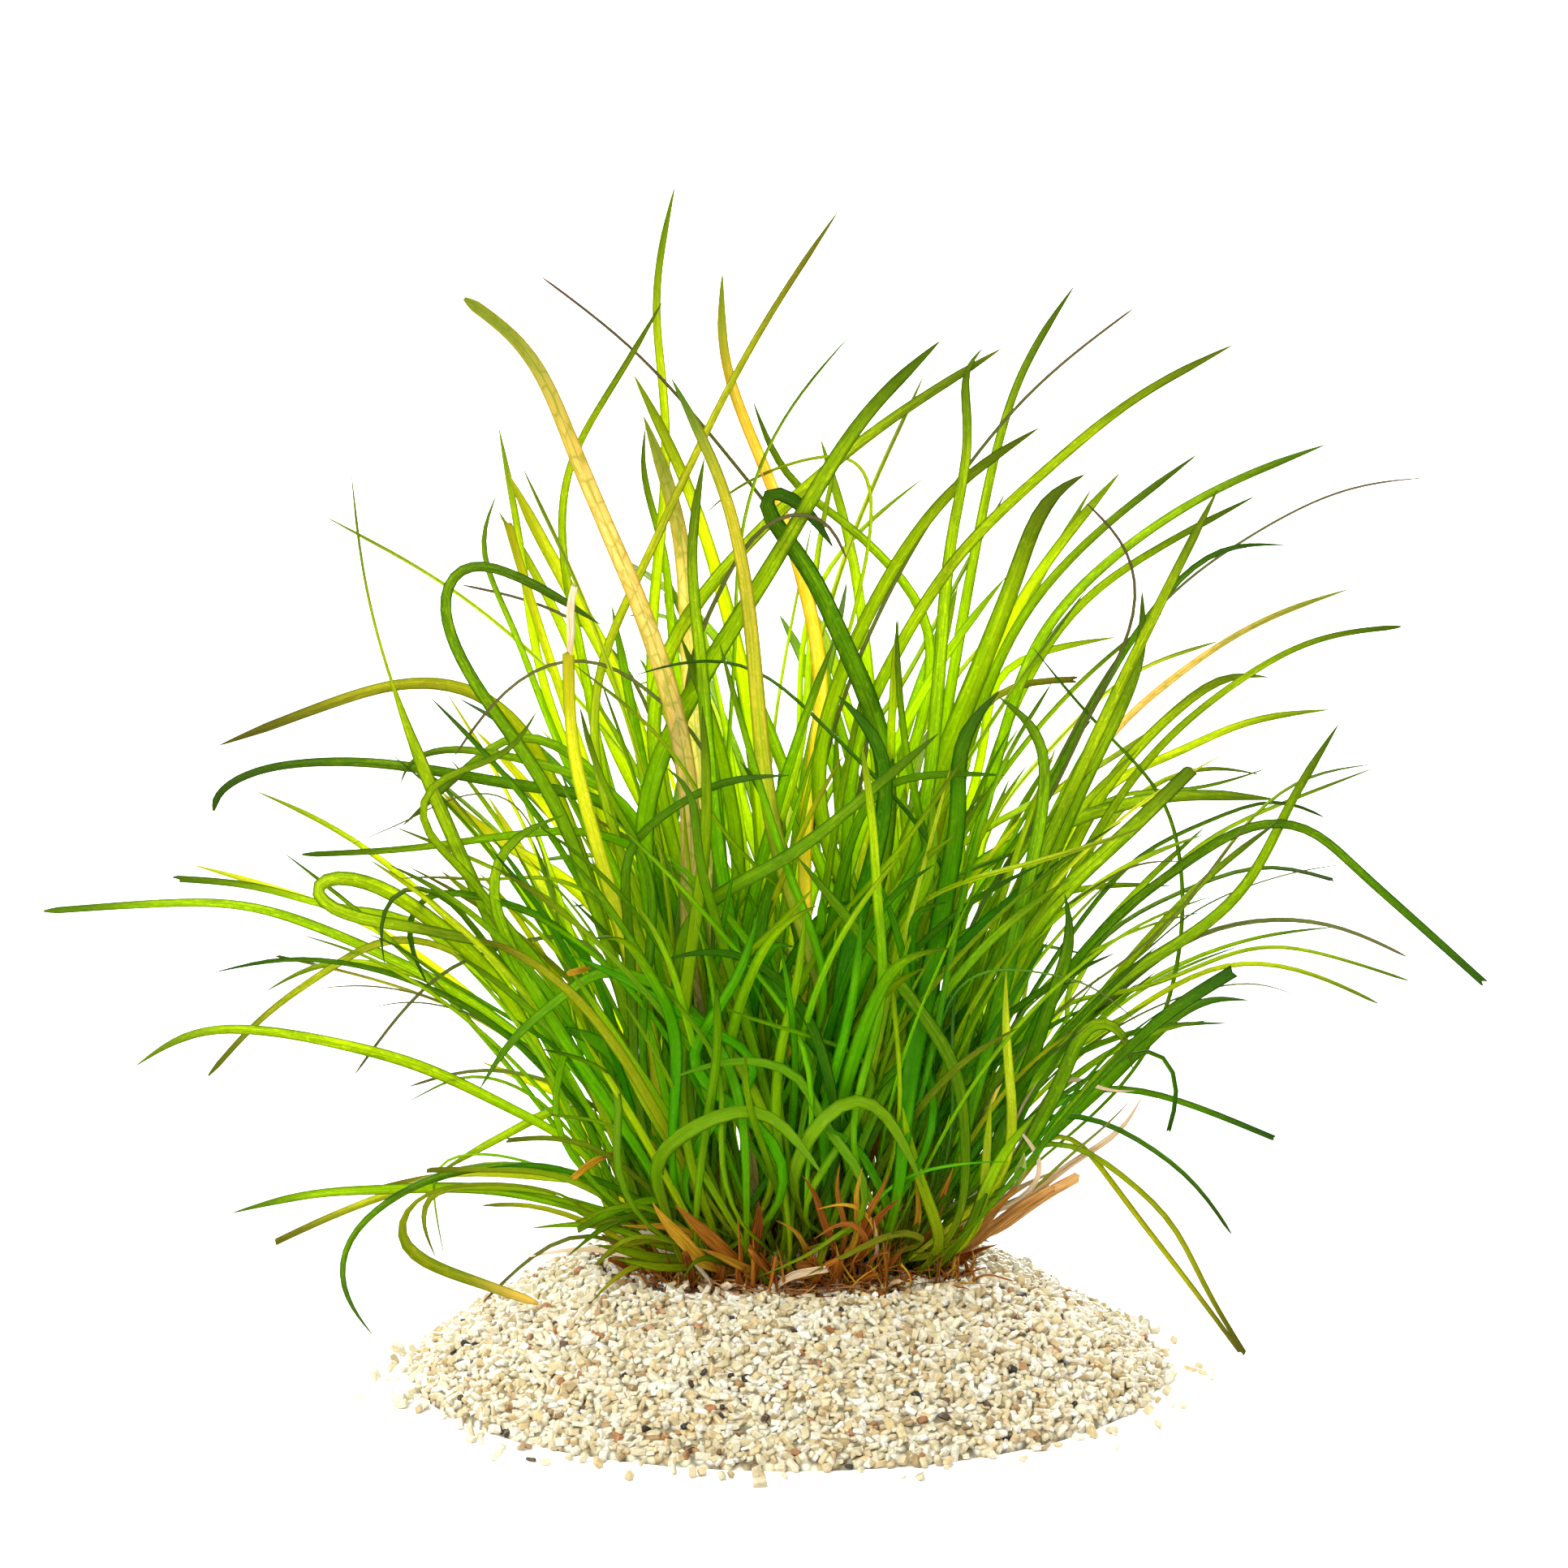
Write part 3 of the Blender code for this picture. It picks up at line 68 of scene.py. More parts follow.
GOLDEN_ANGLE = math.radians(137.508)
FIBRE_PROFILE = ((-1.0, 0.0), (-0.3, 0.9), (0.6, 0.8), (0.9, -0.4), (0.0, -1.0))
Colour = tuple[float, float, float]
Pair = tuple[float, float]


def shade(red: float, green: float, blue: float) -> Colour:
    """Returns a colour seen on a screen as the light values that a shader works with."""
    return tuple(c / 12.92 if c <= 0.04045 else ((c + 0.055) / 1.055) ** 2.4
                 for c in (red, green, blue))


def ways_along(points: Sequence[Vector]) -> list[Vector]:
    """Returns the direction of a course at each of its points."""
    ways = [(b - a).normalized() for a, b in zip(points[:-1], points[1:])]
    return ways + ways[-1:]


def run_lengths(points: Sequence[Vector]) -> np.ndarray:
    """Returns how far along a course each of its points lies."""
    steps = [(b - a).length for a, b in zip(points[:-1], points[1:])]
    return np.concatenate(((0.0,), np.cumsum(steps)))


def leaning(heading: float, tilt: float, depth: float = 1.0) -> Vector:
    """Finds the direction that leans from upright towards a heading.

    Args:
        heading: The way it leans, in radians from +X towards +Y.
        tilt: How far it leans, in radians.
        depth: How much of the lean along Y is kept.

    Returns:
        The direction.
    """
    return Vector((math.cos(heading) * math.sin(tilt),
                   depth * math.sin(heading) * math.sin(tilt), math.cos(tilt)))


@dataclass(frozen=True)
class Viewpoint:
    """The direction the plant is seen in, from the front and a little above.

    across and up in millimetres on the picture plane name a place on the photograph.
    """

    tilt: float = math.radians(12.0)
    distance: float = 1500.0
    centre: Pair = (-0.43, 77.85)
    frame_width: float = 207.74
    sensor: float = 36.0

    @property
    def up(self) -> Vector:
        """The picture's upward direction."""
        return Vector((0.0, math.sin(self.tilt), math.cos(self.tilt)))

    @property
    def away(self) -> Vector:
        """The direction from the eye to the plant."""
        return Vector((0.0, math.cos(self.tilt), -math.sin(self.tilt)))

    @property
    def eye(self) -> Vector:
        """Where the eye is."""
        right = Vector((1.0, 0.0, 0.0))
        return self.centre[0] * right + self.centre[1] * self.up - self.distance * self.away

    def sight(self, point: Vector) -> tuple[float, float]:
        """Finds where a point is seen.

        Args:
            point: A place in millimetres.

        Returns:
            Its place across and up on the picture plane.
        """
        spread = 1.0 + point.dot(self.away) / self.distance
        across = self.centre[0] + (point.x - self.centre[0]) / spread
        up = self.centre[1] + (point.dot(self.up) - self.centre[1]) / spread
        return across, up

    def place(self, across: float, up: float, y: float) -> Vector:
        """Finds the point that is seen at a place on the picture and lies at y.

        Args:
            across: The place across the picture, in millimetres.
            up: The place up the picture, in millimetres.
            y: How far back the point lies, in millimetres.

        Returns:
            The point in millimetres.
        """
        rise = (up - self.centre[1]) / self.distance
        depth = (y - up * math.sin(self.tilt)) / (math.cos(self.tilt) + rise * math.sin(self.tilt))
        spread = 1.0 + depth / self.distance
        side = self.centre[0] + (across - self.centre[0]) * spread
        height = self.centre[1] + (up - self.centre[1]) * spread
        return Vector((side, 0.0, 0.0)) + height * self.up + depth * self.away

    def facing(self, points: Sequence[Vector],
               slant: float = 0.0) -> tuple[list[Vector], list[Vector]]:
        """Finds how a blade along a course lies when it shows its face to the eye.

        Args:
            points: The course.
            slant: How far the face is turned aside, 0 for not at all.

        Returns:
            The blade's side and back at each point.
        """
        rays = [(point - self.eye).normalized() for point in points]
        ways = ways_along(points)
        sides = []
        for way, ray in zip(ways, rays):
            side = way.cross(ray).normalized()
            sides.append((side + slant * way.cross(side)).normalized())
        backs = [way.cross(side).normalized() for way, side in zip(ways, sides)]
        return sides, [back if back.dot(ray) > 0 else -back for back, ray in zip(backs, rays)]


class Graph:
    """A material's node tree, with short calls that add nodes and join them."""

    def __init__(self, name: str) -> None:
        self.material = bpy.data.materials.new(name)
        self.material.use_nodes = True
        self.tree = self.material.node_tree
        self.tree.nodes.clear()

    def add(self, kind: str, settings: dict | None = None, **inputs: object) -> bpy.types.Node:
        """Adds a node.

        Args:
            kind: The node's type, without the ShaderNode in front.
            settings: The node's own properties by name.
            **inputs: Its inputs, by name with _ for a blank: a socket to join or a value to set.

        Returns:
            The node.
        """
        node = self.tree.nodes.new(f"ShaderNode{kind}")
        for key, value in (settings or {}).items():
            setattr(node, key, value)
        for key, value in inputs.items():
            self.feed(node.inputs[key.replace("_", " ")], value)
        return node

    def feed(self, socket: bpy.types.NodeSocket, value: object) -> None:
        """Joins a socket to another one, or sets it to a number or a colour."""
        if isinstance(value, bpy.types.NodeSocket):
            self.tree.links.new(value, socket)
        elif isinstance(value, tuple) and len(value) == 3 and socket.type == "RGBA":
            socket.default_value = (*value, 1.0)
        else:
            socket.default_value = value

    def sum(self, operation: str, first: object, second: object = 0.0) -> bpy.types.NodeSocket:
        """Works out one sum of two numbers.

        Args:
            operation: The Math node's operation.
            first: A socket or a number.
            second: A socket or a number.

        Returns:
            The socket with the result.
        """
        node = self.add("Math", {"operation": operation})
        self.feed(node.inputs[0], first)
        self.feed(node.inputs[1], second)
        return node.outputs[0]

    def mix(self, factor: object, first: object, second: object,
            blend: str = "MIX") -> bpy.types.NodeSocket:
        """Mixes two colours.

        Args:
            factor: How much of the second is taken, a socket or a number.
            first: A socket or a colour.
            second: A socket or a colour.
            blend: The Mix node's blend type.

        Returns:
            The socket with the mixed colour.
        """
        node = self.add("Mix", {"data_type": "RGBA", "blend_type": blend})
        self.feed(node.inputs[0], factor)
        self.feed(node.inputs[6], first)
        self.feed(node.inputs[7], second)
        return node.outputs[2]

    def ease(self, value: object, low: float, high: float, start: float = 0.0,
             end: float = 1.0) -> bpy.types.NodeSocket:
        """Maps a number smoothly from one range to another.

        Args:
            value: A socket.
            low: The value that becomes start.
            high: The value that becomes end.
            start: The result at low.
            end: The result at high.

        Returns:
            The socket with the result.
        """
        node = self.add("MapRange", {"interpolation_type": "SMOOTHSTEP"})
        for socket, number in zip(node.inputs[:5], (value, low, high, start, end)):
            self.feed(socket, number)
        return node.outputs[0]

    def ramp(self, factor: object, stops: Sequence[tuple[float, Colour]]) -> bpy.types.NodeSocket:
        """Picks a colour from a row of colours.

        Args:
            factor: Where on the row, a socket from 0 to 1.
            stops: The places and colours of the row.

        Returns:
            The socket with the colour.
        """
        node = self.add("ValToRGB", Fac=factor)
        row = node.color_ramp.elements
        while len(row) < len(stops):
            row.new(1.0)
        for stop, (place, colour) in zip(row, stops):
            stop.position = place
            stop.color = (*colour, 1.0)
        return node.outputs[0]

    def attribute(self, name: str) -> bpy.types.NodeSocket:
        """Reads a number that the piece's mesh carries."""
        return self.add("Attribute", {"attribute_name": name}).outputs["Fac"]

    def where(self) -> bpy.types.NodeSocket:
        """Reads the place on the piece, in metres."""
        return self.add("TexCoord").outputs["Object"]

    def redrawn(self, chance: bpy.types.NodeSocket, times: float) -> bpy.types.NodeSocket:
        """Makes another number from 0 to 1 of a leaf's own number."""
        return self.sum("FRACT", self.sum("MULTIPLY", chance, times))

    def finish(self, surface: bpy.types.NodeSocket) -> bpy.types.Material:
        """Joins a shader to the output and returns the material."""
        self.add("OutputMaterial", Surface=surface)
        return self.material

    def finish_thin(self, skin: bpy.types.Node, through: bpy.types.NodeSocket | Colour,
                    glow_share: float) -> bpy.types.Material:
        """Joins a surface that light also comes through to the output.

        Args:
            skin: The shader of the surface.
            through: The colour of the light that comes through.
            glow_share: How much of the look is that light.

        Returns:
            The material.
        """
        glow = self.add("BsdfTranslucent", Color=through)
        both = self.add("MixShader", Fac=glow_share)
        self.feed(both.inputs[1], skin.outputs[0])
        self.feed(both.inputs[2], glow.outputs[0])
        return self.finish(both.outputs[0])


@dataclass(frozen=True)
class LeafFinish:
    """The living surface of a blade: colours of face, margin, veins and tip, and its sheen.

    glow is the light that comes through it. under is painted light and shade: the
    colour that stands in for the shade and glow that fall on leaves low down in the tuft, with
    depth_light_faces as the colours there by chance, partly the leaves' own mixed tones and partly
    painted shade and glow. The painted_glow spans bound the painted glow in the middle of the tuft.
    The reaches are shares of half the width, the scales say how fine a pattern is across and along,
    and the spans are heights or places in metres between which a look comes or goes.
    """

    name: str
    slot: str
    face: Colour
    blotch: Colour
    margin: Colour
    rib: Colour
    tip: Colour
    glow: Colour
    under: Colour
    foot: Colour = shade(0.64, 0.60, 0.06)
    vein: Colour | None = None
    # Painted shade and glow by chance, partly the leaves' own mixed tones: dark greens stand in for
    # shade between leaves, bright limes for light glowing through them.
    depth_light_faces: tuple[tuple[float, Colour], ...] = (
        (0.00, shade(0.02, 0.40, 0.00)), (0.20, shade(0.08, 0.68, 0.00)),
        (0.38, shade(0.24, 0.84, 0.01)), (0.58, shade(0.56, 0.88, 0.01)),
        (0.72, shade(0.90, 0.94, 0.03)), (0.84, shade(0.42, 0.54, 0.01)),
        (1.00, shade(0.04, 0.46, 0.00)))
    line_reach: Pair = (0.04, 0.13)
    flank_reach: Pair = (0.10, 0.42)
    edge_reach: Pair = (0.58, 0.96)
    cloud_scale: Pair = (2.2, 26.0)
    streak_scale: Pair = (7.5, 9.0)
    speck_scale: Pair = (5.0, 75.0)
    net_scale: Pair = (3.0, 80.0)
    cross_veins: float = 0.35
    least_value: float = 0.80
    value_swing: float = 0.62
    specular: float = 0.11
    glow_share: float = 0.74
    roughness: float = 0.42
    relief: float = 0.00012
    under_share: float = 0.85
    tip_from: float = 0.78
    hue_swing: float = 0.016
    foot_span: Pair = (0.016, 0.034)
    depth_light_span: Pair = (0.045, 0.108)
    depth_light_foot_span: Pair = (0.014, 0.030)
    depth_light_front_span: Pair = (-0.016, 0.016)
    depth_light_middle_span: Pair = (0.020, 0.050)
    painted_glow_span: Pair = (0.085, 0.125)
    painted_glow_foot_span: Pair = (0.024, 0.044)
    painted_glow_side_span: Pair = (0.022, 0.050)
    painted_glow_back_span: Pair = (-0.014, 0.004)

    def material(self) -> bpy.types.Material:
        """Builds the blade's material on its UV map, u across the blade and v along it.

        Returns:
            The material.
        """
        g = Graph(self.name)
        uv = g.add("UVMap", {"uv_map": "blade"}).outputs[0]
        across = g.add("SeparateXYZ", Vector=uv).outputs[0]
        out = g.sum("MULTIPLY", g.sum("ABSOLUTE", g.sum("SUBTRACT", across, 0.5)), 2.0)
        share = g.attribute("share")
        chance = g.attribute("chance")
        line = g.ease(out, *self.line_reach, 1.0, 0.0)
        flank = g.ease(out, *self.flank_reach, 1.0, 0.0)
        edged = g.ease(out, *self.edge_reach)
        clouds = self.spotted(g, uv, chance, self.cloud_scale)
        streaks = self.spotted(g, uv, chance, self.streak_scale)
        specks = self.spotted(g, uv, chance, self.speck_scale)
        cells = g.add("Mapping", Vector=uv, Scale=(*self.net_scale, 1.0))
        self.offset_by(g, cells, chance)
        net = g.add("TexVoronoi", {"feature": "DISTANCE_TO_EDGE"}, Vector=cells.outputs[0],
                    Scale=1.0, Randomness=0.8)
        crossed = g.ease(net.outputs["Distance"], 0.0, 0.11, 1.0, 0.0)
        vein = self.vein or self.margin
        colour = g.mix(g.ease(clouds, 0.44, 0.60), self.face, self.blotch)
        colour = g.mix(g.ease(streaks, 0.51, 0.60, 0.0, 0.6), colour, self.margin)
        colour = g.mix(g.ease(streaks, 0.38, 0.47, 0.6, 0.0), colour, self.rib)
        colour = g.mix(g.sum("MULTIPLY", flank, 0.35), colour, self.rib)
        colour = g.mix(g.sum("MULTIPLY", crossed, self.cross_veins), colour, vein)
        colour = g.mix(g.sum("MULTIPLY", line, 0.7), colour, vein)
        colour = g.mix(g.ease(specks, 0.58, 0.65, 0.0, 0.7), colour, self.rib)
        faded = g.sum("MULTIPLY", g.ease(share, self.tip_from, 1.0), 0.85)
        colour = g.mix(faded, colour, self.tip)
        tint = g.add("HueSaturation", Color=colour, Saturation=1.0,
                     Hue=g.ease(chance, 0.0, 1.0, 0.5 + self.hue_swing, 0.5 - self.hue_swing),
                     Value=g.sum("ADD", self.least_value, g.sum(
                         "MULTIPLY", self.value_swing, g.redrawn(chance, 7.0)))).outputs[0]
        # Painted glow: in the middle of the tuft the colour is brightened, as if lit from behind
        # among other leaves; the light through the blade gets the same below.
        thick = self.painted_glow_mask(g)
        tint = g.mix(g.sum("MULTIPLY", edged, 0.6), tint, self.margin)
        tint = g.mix(thick, tint, self.painted_glow(g, tint))
        # Painted light and shade: low in the tuft's front and middle the colour goes over to under
        # and colours by chance, which stand in for the shade and glow there; the leaves' own foot
        # colour is mixed in near the base.
        painted_depth_light = self.painted_depth_light(g)
        low = g.mix(0.72, self.under, g.ramp(g.redrawn(chance, 11.0), self.depth_light_faces))
        low = g.mix(self.at_foot(g), low, self.foot)
        height = g.sum("ADD", g.sum("MULTIPLY", streaks, 0.8), g.sum("MULTIPLY", crossed, 0.4))
        bump = g.add("Bump", Strength=0.35, Distance=self.relief, Height=height)
        skin = g.add("BsdfPrincipled", Roughness=self.roughness, Normal=bump.outputs[0],
                     Base_Color=g.mix(painted_depth_light, tint, self.patterned(g, tint, low, edged)))
        skin.inputs["Specular IOR Level"].default_value = self.specular
        lit = g.mix(0.5, g.mix(faded, self.glow, self.tip), tint)
        lit = g.mix(g.sum("MULTIPLY", edged, 0.45), lit, self.margin)
        lit = g.mix(thick, lit, self.painted_glow(g, lit))
        # The light through the blade deep in the tuft is the painted depth colour, brightened
        # further.
        bright = g.add("Gamma", Color=low, Gamma=0.62).outputs[0]
        through = g.mix(painted_depth_light, lit, self.patterned(g, lit, bright, edged))
        return g.finish_thin(skin, through, self.glow_share)

    def patterned(self, g: Graph, pattern: bpy.types.NodeSocket, colour: bpy.types.NodeSocket,
                  edged: bpy.types.NodeSocket) -> bpy.types.NodeSocket:
        """Gives a colour the veins and streaks of a pattern, and the blade's dark edges."""
        return g.mix(g.sum("MULTIPLY", edged, 0.4), g.mix(0.64, pattern, colour), self.margin)

    def spotted(self, g: Graph, uv: bpy.types.NodeSocket, chance: bpy.types.NodeSocket,
                scale: Pair) -> bpy.types.NodeSocket:
        """Makes spots or streaks that differ from leaf to leaf.

        Args:
            g: The material's graph.
            uv: The blade's UV map.
            chance: The leaf's own number.
            scale: How fine they are across and along the blade.

        Returns:
            The socket, mostly from 0.3 to 0.7.
        """
        place = g.add("Mapping", Vector=uv, Scale=(*scale, 1.0))
        self.offset_by(g, place, chance)
        return g.add("TexNoise", Vector=place.outputs[0], Scale=1.0, Detail=3.0,
                     Roughness=0.6).outputs["Fac"]

    def at_foot(self, g: Graph) -> bpy.types.NodeSocket:
        """Finds how near a place is to the leaves' feet, from 0 to 0.7."""
        height = g.add("SeparateXYZ", Vector=g.where()).outputs[2]
        return g.ease(height, *self.foot_span, 0.7, 0.0)

    def painted_depth_light(self, g: Graph) -> bpy.types.NodeSocket:
        """Finds how much painted light and shade a place gets, deep in the tuft's low front and
        middle.

        Args:
            g: The material's graph.

        Returns:
            The socket, 0 in the open and up to under_share deep inside.
        """
        x, y, z = g.add("SeparateXYZ", Vector=g.where()).outputs
        across = g.sum("SQRT", g.sum("ADD", g.sum("MULTIPLY", x, x), g.sum("MULTIPLY", y, y)))
        low = g.sum("MULTIPLY", g.ease(z, *self.depth_light_span, 1.0, 0.0),
                    g.ease(z, *self.depth_light_foot_span, 0.6, 1.0))
        front = g.ease(y, *self.depth_light_front_span, 1.0, 0.2)
        middle = g.ease(across, *self.depth_light_middle_span, 1.0, 0.15)
        deep = g.sum("MULTIPLY", low, g.sum("MULTIPLY", front, middle))
        return g.sum("MULTIPLY", deep, self.under_share)

    @staticmethod
    def painted_glow(g: Graph, colour: bpy.types.NodeSocket) -> bpy.types.NodeSocket:
        """Paints light into a colour: brighter and fresher, as leaves look that glow among other
        leaves.
        """
        lifted = g.add("Gamma", Color=colour, Gamma=0.78).outputs[0]
        return g.add("HueSaturation", Color=lifted, Saturation=1.1, Hue=0.515,
                     Value=1.0).outputs[0]

    def painted_glow_mask(self, g: Graph) -> bpy.types.NodeSocket:
        """Finds how much painted glow a place gets in the middle of the tuft, where leaves glow
        brightest.

        Args:
            g: The material's graph.

        Returns:
            The socket, 0 in the open and up to 1 in the middle of the tuft.
        """
        x, y, z = g.add("SeparateXYZ", Vector=g.where()).outputs
        level = g.sum("MULTIPLY", g.ease(z, *self.painted_glow_span, 1.0, 0.0),
                      g.ease(z, *self.painted_glow_foot_span, 0.25, 1.0))
        aside = g.ease(g.sum("ABSOLUTE", x), *self.painted_glow_side_span, 1.0, 0.0)
        back = g.ease(y, *self.painted_glow_back_span, 0.35, 1.0)
        return g.sum("MULTIPLY", level, g.sum("MULTIPLY", aside, back))

    @staticmethod
    def offset_by(g: Graph, mapping: bpy.types.Node, chance: bpy.types.NodeSocket) -> None:
        """Moves a pattern along by a leaf's own number, so that no two leaves match."""
        shift = g.add("CombineXYZ")
        g.feed(shift.inputs[1], g.sum("MULTIPLY", chance, 37.0))
        g.feed(mapping.inputs["Location"], shift.outputs[0])


def leaf(name: str, slot: str, *colours: Colour, **rest: object) -> LeafFinish:
    """Makes a leaf's finish from its colours as they look, face first and the painted depth light
    last.
    """
    return LeafFinish(name, slot, *(shade(*colour) for colour in colours), **rest)


class Tone(Enum):
    """The tones that the leaves come in."""

    # The last colour of each tone is its under: painted light and shade for leaves deep in the
    # tuft.
    LIME = leaf(
        "lime_leaf", "leaf_lime", (0.71, 0.75, 0.04), (0.58, 0.67, 0.02),
        (0.30, 0.42, 0.01), (0.88, 0.88, 0.24), (0.45, 0.52, 0.05),
        (0.91, 0.93, 0.05), (0.50, 0.92, 0.01))
    GREEN = leaf(
        "green_leaf", "leaf_green", (0.54, 0.63, 0.02), (0.43, 0.55, 0.01),
        (0.17, 0.31, 0.00), (0.76, 0.79, 0.13), (0.33, 0.41, 0.06),
        (0.79, 0.85, 0.02), (0.25, 0.87, 0.00))
    DEEP = leaf(
        "deep_leaf", "leaf_deep", (0.35, 0.48, 0.02), (0.27, 0.41, 0.01),
        (0.10, 0.24, 0.00), (0.58, 0.65, 0.07), (0.24, 0.36, 0.10),
        (0.56, 0.68, 0.01), (0.10, 0.68, 0.01))
    OLIVE = leaf(
        "olive_leaf", "leaf_olive", (0.58, 0.60, 0.10), (0.50, 0.50, 0.08),
        (0.32, 0.38, 0.04), (0.74, 0.72, 0.24), (0.38, 0.36, 0.10),
        (0.80, 0.79, 0.08), (0.50, 0.64, 0.04))
    YELLOW = leaf(
        "yellow_leaf", "leaf_yellow", (0.82, 0.80, 0.18), (0.74, 0.75, 0.13),
        (0.50, 0.58, 0.06), (0.90, 0.87, 0.36), (0.66, 0.64, 0.12),
        (0.93, 0.91, 0.16), (0.80, 0.78, 0.10), cross_veins=0.45, tip_from=0.8,
        under_share=0.5)
    TAN = leaf(
        "tan_leaf", "leaf_tan", (0.88, 0.77, 0.50), (0.88, 0.72, 0.46),
        (0.72, 0.66, 0.28), (0.92, 0.83, 0.60), (0.44, 0.52, 0.10),
        (0.87, 0.76, 0.51), (0.84, 0.75, 0.30), vein=shade(0.28, 0.48, 0.02),
        net_scale=(2.2, 32.0), cross_veins=0.6, tip_from=0.72, glow_share=0.8,
        under_share=0.4, hue_swing=0.003)
    GOLD = leaf(
        "gold_leaf", "leaf_tan", (0.81, 0.67, 0.25), (0.87, 0.75, 0.40),
        (0.70, 0.58, 0.14), (0.90, 0.81, 0.46), (0.38, 0.50, 0.08),
        (0.82, 0.70, 0.32), (0.82, 0.75, 0.24), cross_veins=0.2, tip_from=0.78,
        glow_share=0.8, under_share=0.4, hue_swing=0.002)
    BRONZE = leaf(
        "bronze_leaf", "leaf_yellow", (0.69, 0.65, 0.22), (0.78, 0.69, 0.27),
        (0.46, 0.50, 0.08), (0.82, 0.74, 0.32), (0.24, 0.44, 0.14),
        (0.81, 0.77, 0.22), (0.70, 0.74, 0.10), vein=shade(0.36, 0.58, 0.04),
        tip_from=0.84, under_share=0.5, hue_swing=0.003)
    FADED = leaf(
        "faded_leaf", "leaf_green", (0.38, 0.48, 0.03), (0.46, 0.52, 0.05),
        (0.52, 0.52, 0.04), (0.70, 0.66, 0.14), (0.84, 0.72, 0.38),
        (0.46, 0.54, 0.03), (0.46, 0.62, 0.05), tip_from=0.82, under_share=0.5)
    BROWN = leaf(
        "brown_leaf", "leaf_brown", (0.34, 0.36, 0.12), (0.32, 0.28, 0.14),
        (0.22, 0.26, 0.08), (0.44, 0.42, 0.18), (0.34, 0.26, 0.18),
        (0.44, 0.46, 0.12), (0.30, 0.36, 0.10), glow_share=0.35)


@dataclass(frozen=True)
class HuskFinish:
    """Dry and rotten matter: old sheaths, straw and root fibres."""

    name: str
    pale: Colour
    mid: Colour
    dark: Colour
    glow_share: float = 0.3
    roughness: float = 0.7
    specular: float = 0.25
    streak_scale: Pair = (9.0, 14.0)

    def material(self) -> bpy.types.Material:
        """Builds the fibrous material, streaked along each strip.

        Returns:
            The material.
        """
        g = Graph(self.name)
        uv = g.add("UVMap", {"uv_map": "blade"}).outputs[0]
        streaks = g.add("Mapping", Vector=uv, Scale=(*self.streak_scale, 1.0))
        LeafFinish.offset_by(g, streaks, g.attribute("chance"))
        grain = g.add("TexNoise", Vector=streaks.outputs[0], Scale=1.0, Detail=4.0, Roughness=0.65)
        place = g.sum("ADD", g.sum("MULTIPLY", grain.outputs["Fac"], 1.6),
                      g.sum("MULTIPLY", g.attribute("chance"), 0.3))
        colour = g.ramp(g.sum("SUBTRACT", place, 0.42), (
            (0.18, self.dark), (0.50, self.mid), (0.84, self.pale)))
        bump = g.add("Bump", Strength=0.5, Distance=0.0002, Height=grain.outputs["Fac"])
        skin = g.add("BsdfPrincipled", Base_Color=colour, Roughness=self.roughness,
                     Normal=bump.outputs[0])
        skin.inputs["Specular IOR Level"].default_value = self.specular
        return g.finish_thin(skin, colour, self.glow_share)


def husk(name: str, *colours: Colour, **rest: float) -> HuskFinish:
    """Makes a dry finish from its colours as they look, from pale to dark."""
    return HuskFinish(name, *(shade(*colour) for colour in colours), **rest)


RUST = husk("rust_sheath", (0.74, 0.50, 0.10), (0.60, 0.32, 0.04), (0.34, 0.17, 0.02),
            glow_share=0.4)
AMBER = husk("amber_sheath", (0.90, 0.74, 0.20), (0.76, 0.56, 0.08), (0.50, 0.34, 0.04),
             glow_share=0.45)
BARK = husk("bark_sheath", (0.93, 0.78, 0.52), (0.74, 0.52, 0.24), (0.48, 0.28, 0.08))
STRAW = husk("straw", (0.98, 0.93, 0.84), (0.86, 0.76, 0.60), (0.58, 0.44, 0.28), glow_share=0.4)
SHEATH = husk("leaf_sheath", (0.80, 0.86, 0.50), (0.56, 0.66, 0.22), (0.44, 0.42, 0.14),
              glow_share=0.4, roughness=0.5)
FIBRE = husk("root_fibre", (0.86, 0.66, 0.38), (0.58, 0.36, 0.16), (0.26, 0.15, 0.08))


